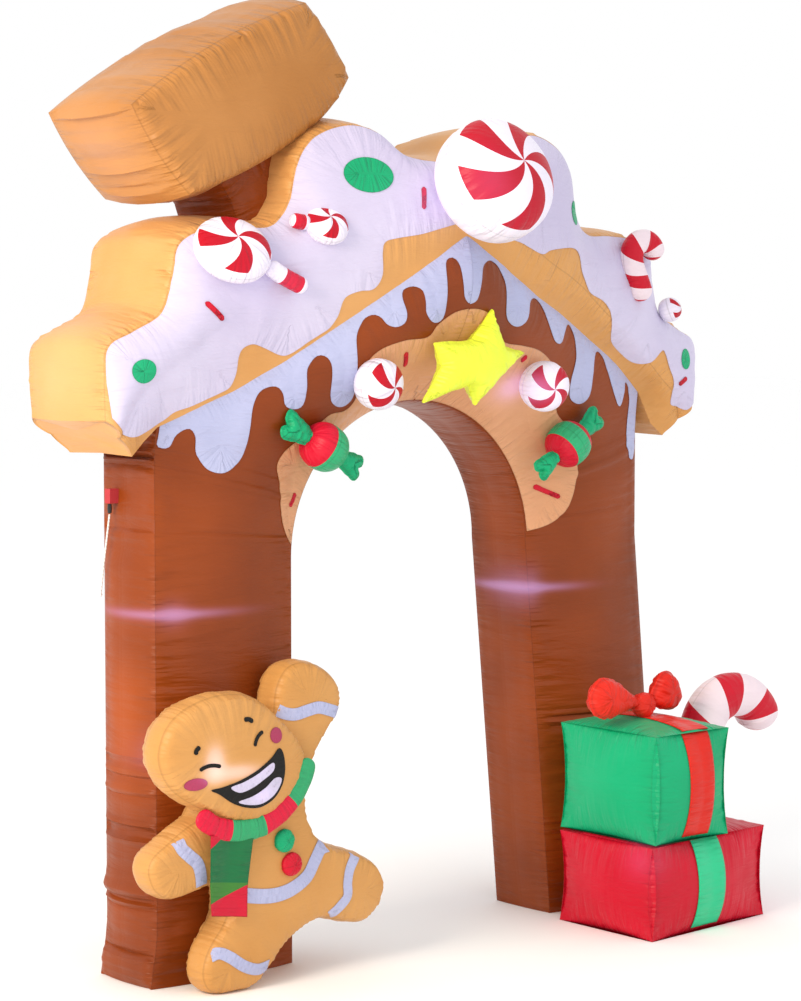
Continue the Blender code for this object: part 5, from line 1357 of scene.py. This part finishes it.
# %% Bow
LEFT_LOOP = [(0.700, 0.775), (0.660, 0.800), (0.610, 0.835), (0.555, 0.858), (0.510, 0.845), (0.484, 0.800),
             (0.500, 0.752), (0.545, 0.730), (0.600, 0.733), (0.655, 0.748), (0.700, 0.757)]
RIGHT_LOOP = [(0.768, 0.772), (0.786, 0.812), (0.812, 0.848), (0.845, 0.857), (0.880, 0.830), (0.898, 0.780),
              (0.888, 0.742), (0.850, 0.731), (0.806, 0.742), (0.768, 0.758)]
for name, loop, seed, node in (("left_bow_loop", LEFT_LOOP, 95, "bow_left"),
                               ("right_bow_loop", RIGHT_LOOP, 96, "bow_right")):
    cushion(name, loop, -0.480, 0.008, 0.036, cloth["bright red"], 0.006, seed, 0.006, 400, replaces=node)
sweet("bow_knot_bag", "bow_knot", cloth["bright red"], (0.733, -0.480, 0.754), 0.044, 0.036, 2.3, (0, -1, 0),
      97, 0.004)
print("gifts done")

# %% [markdown]
# ## Dots, sprinkles and the tie
# Small green dots are sewn on the roof, and thin red bars are sprinkles. On the left leg a webbing tab holds
# the cord that ties the arch down; a toggle keeps it.

# %% Dots and sprinkles
# node, middle x, z, half width, half height
for name, *shape in (("dot_left", -1.145, 1.903, 0.042, 0.036), ("dot_middle", -0.370, 2.505, 0.085, 0.055),
                     ("dot_upper", 0.560, 2.410, 0.032, 0.040), ("dot_right", 1.165, 1.915, 0.026, 0.036)):
    applique(name + "_sheet", disc(*shape), roof, cloth["green"], 0.0040, 0.009, name, True)
# name, base, x and z of both ends
SPRINKLES = [
    ("sprinkle_a", roof, -0.941, 2.109, -0.878, 2.055), ("sprinkle_b", roof, -0.182, 2.472, -0.178, 2.402),
    ("sprinkle_c", roof, 1.136, 1.825, 1.170, 1.849), ("sprinkle_d", arch, -0.211, 1.952, -0.186, 1.907),
    ("sprinkle_e", arch, 0.315, 1.918, 0.337, 1.934), ("sprinkle_f", arch, 0.519, 1.490, 0.622, 1.448),
    ("sprinkle_g", arch, -0.526, 1.466, -0.502, 1.508)]
for name, base, x0, z0, x1, z1 in SPRINKLES:
    bar = ribbon([(x0, z0), ((x0 + x1) / 2, (z0 + z1) / 2), (x1, z1)], 0.017)
    applique(name, bar, base, cloth["red"], 0.0040, 0.008)

# %% Tie cord, webbing and toggle
def fine_material(name, kind, scale, tones, rough, bump=0.0, **settings):
    """A material whose two close tones follow one fine wave or noise, as do a pair of roughnesses and the
    bump."""
    made = bpy.data.materials.new(name)
    made.use_nodes = True
    tree = made.node_tree
    shader = tree.nodes["Principled BSDF"]
    place = add(tree, "TexCoord", give="Object")
    wave = add(tree, kind, {"Vector": place, "Scale": scale}, "Fac", **settings)
    tone = add(tree, "Mix", {0: wave, 6: linear(tones[0]), 7: linear(tones[1])}, 2, data_type="RGBA")
    tree.links.new(tone, shader.inputs["Base Color"])
    if isinstance(rough, tuple):
        rough = add(tree, "MapRange", {0: wave, 3: rough[0], 4: rough[1]})
        tree.links.new(rough, shader.inputs["Roughness"])
    else:
        shader.inputs["Roughness"].default_value = rough
    if bump:
        lift = add(tree, "Bump", {"Height": wave, "Strength": bump, "Distance": 0.0006})
        tree.links.new(lift, shader.inputs["Normal"])
    return made


# Braided cord is matt; the light and shade of its slanted strands are painted in two tones, with no bump.
# Webbing is dull, with ribs across it; moulded plastic is half matt, with a fine even grain.
polyester_cord = fine_material("braided polyester cord", "TexWave", 60.0, ("#F2F2F0", "#CFCFCC"), 0.6,
                               bands_direction="DIAGONAL")
webbing = fine_material("woven polyester webbing", "TexWave", 90.0, ("#A8202C", "#C23A40"), 0.65, 0.6,
                        bands_direction="Z")
toggle_plastic = fine_material("moulded black plastic", "TexNoise", 900.0, ("#141416", "#1E1E21"),
                               (0.32, 0.50))
for name, material in (("tether_tab", webbing), ("tether_toggle", toggle_plastic)):
    frame["nodes"][name].data.materials.clear()
    frame["nodes"][name].data.materials.append(material)

CORD = np.array([(-1.0685, 0.0500, 1.4567), (-1.0710, 0.0540, 1.4200), (-1.0730, 0.0640, 1.3600),
                 (-1.0740, 0.0760, 1.3000), (-1.0745, 0.0860, 1.2450), (-1.0750, 0.0930, 1.2060)])
cord_tube = tube("tie_cord", CORD, 0.003, polyester_cord, "tether_cord", 12, 60, seams=())
cord_knot = sweet("tie_cord_knot", None, polyester_cord, (-1.0750, 0.0932, 1.2035), 0.0055, 0.0055, 2.0,
                  (0, 0, -1), up=(0, 1, 0), padded=None)
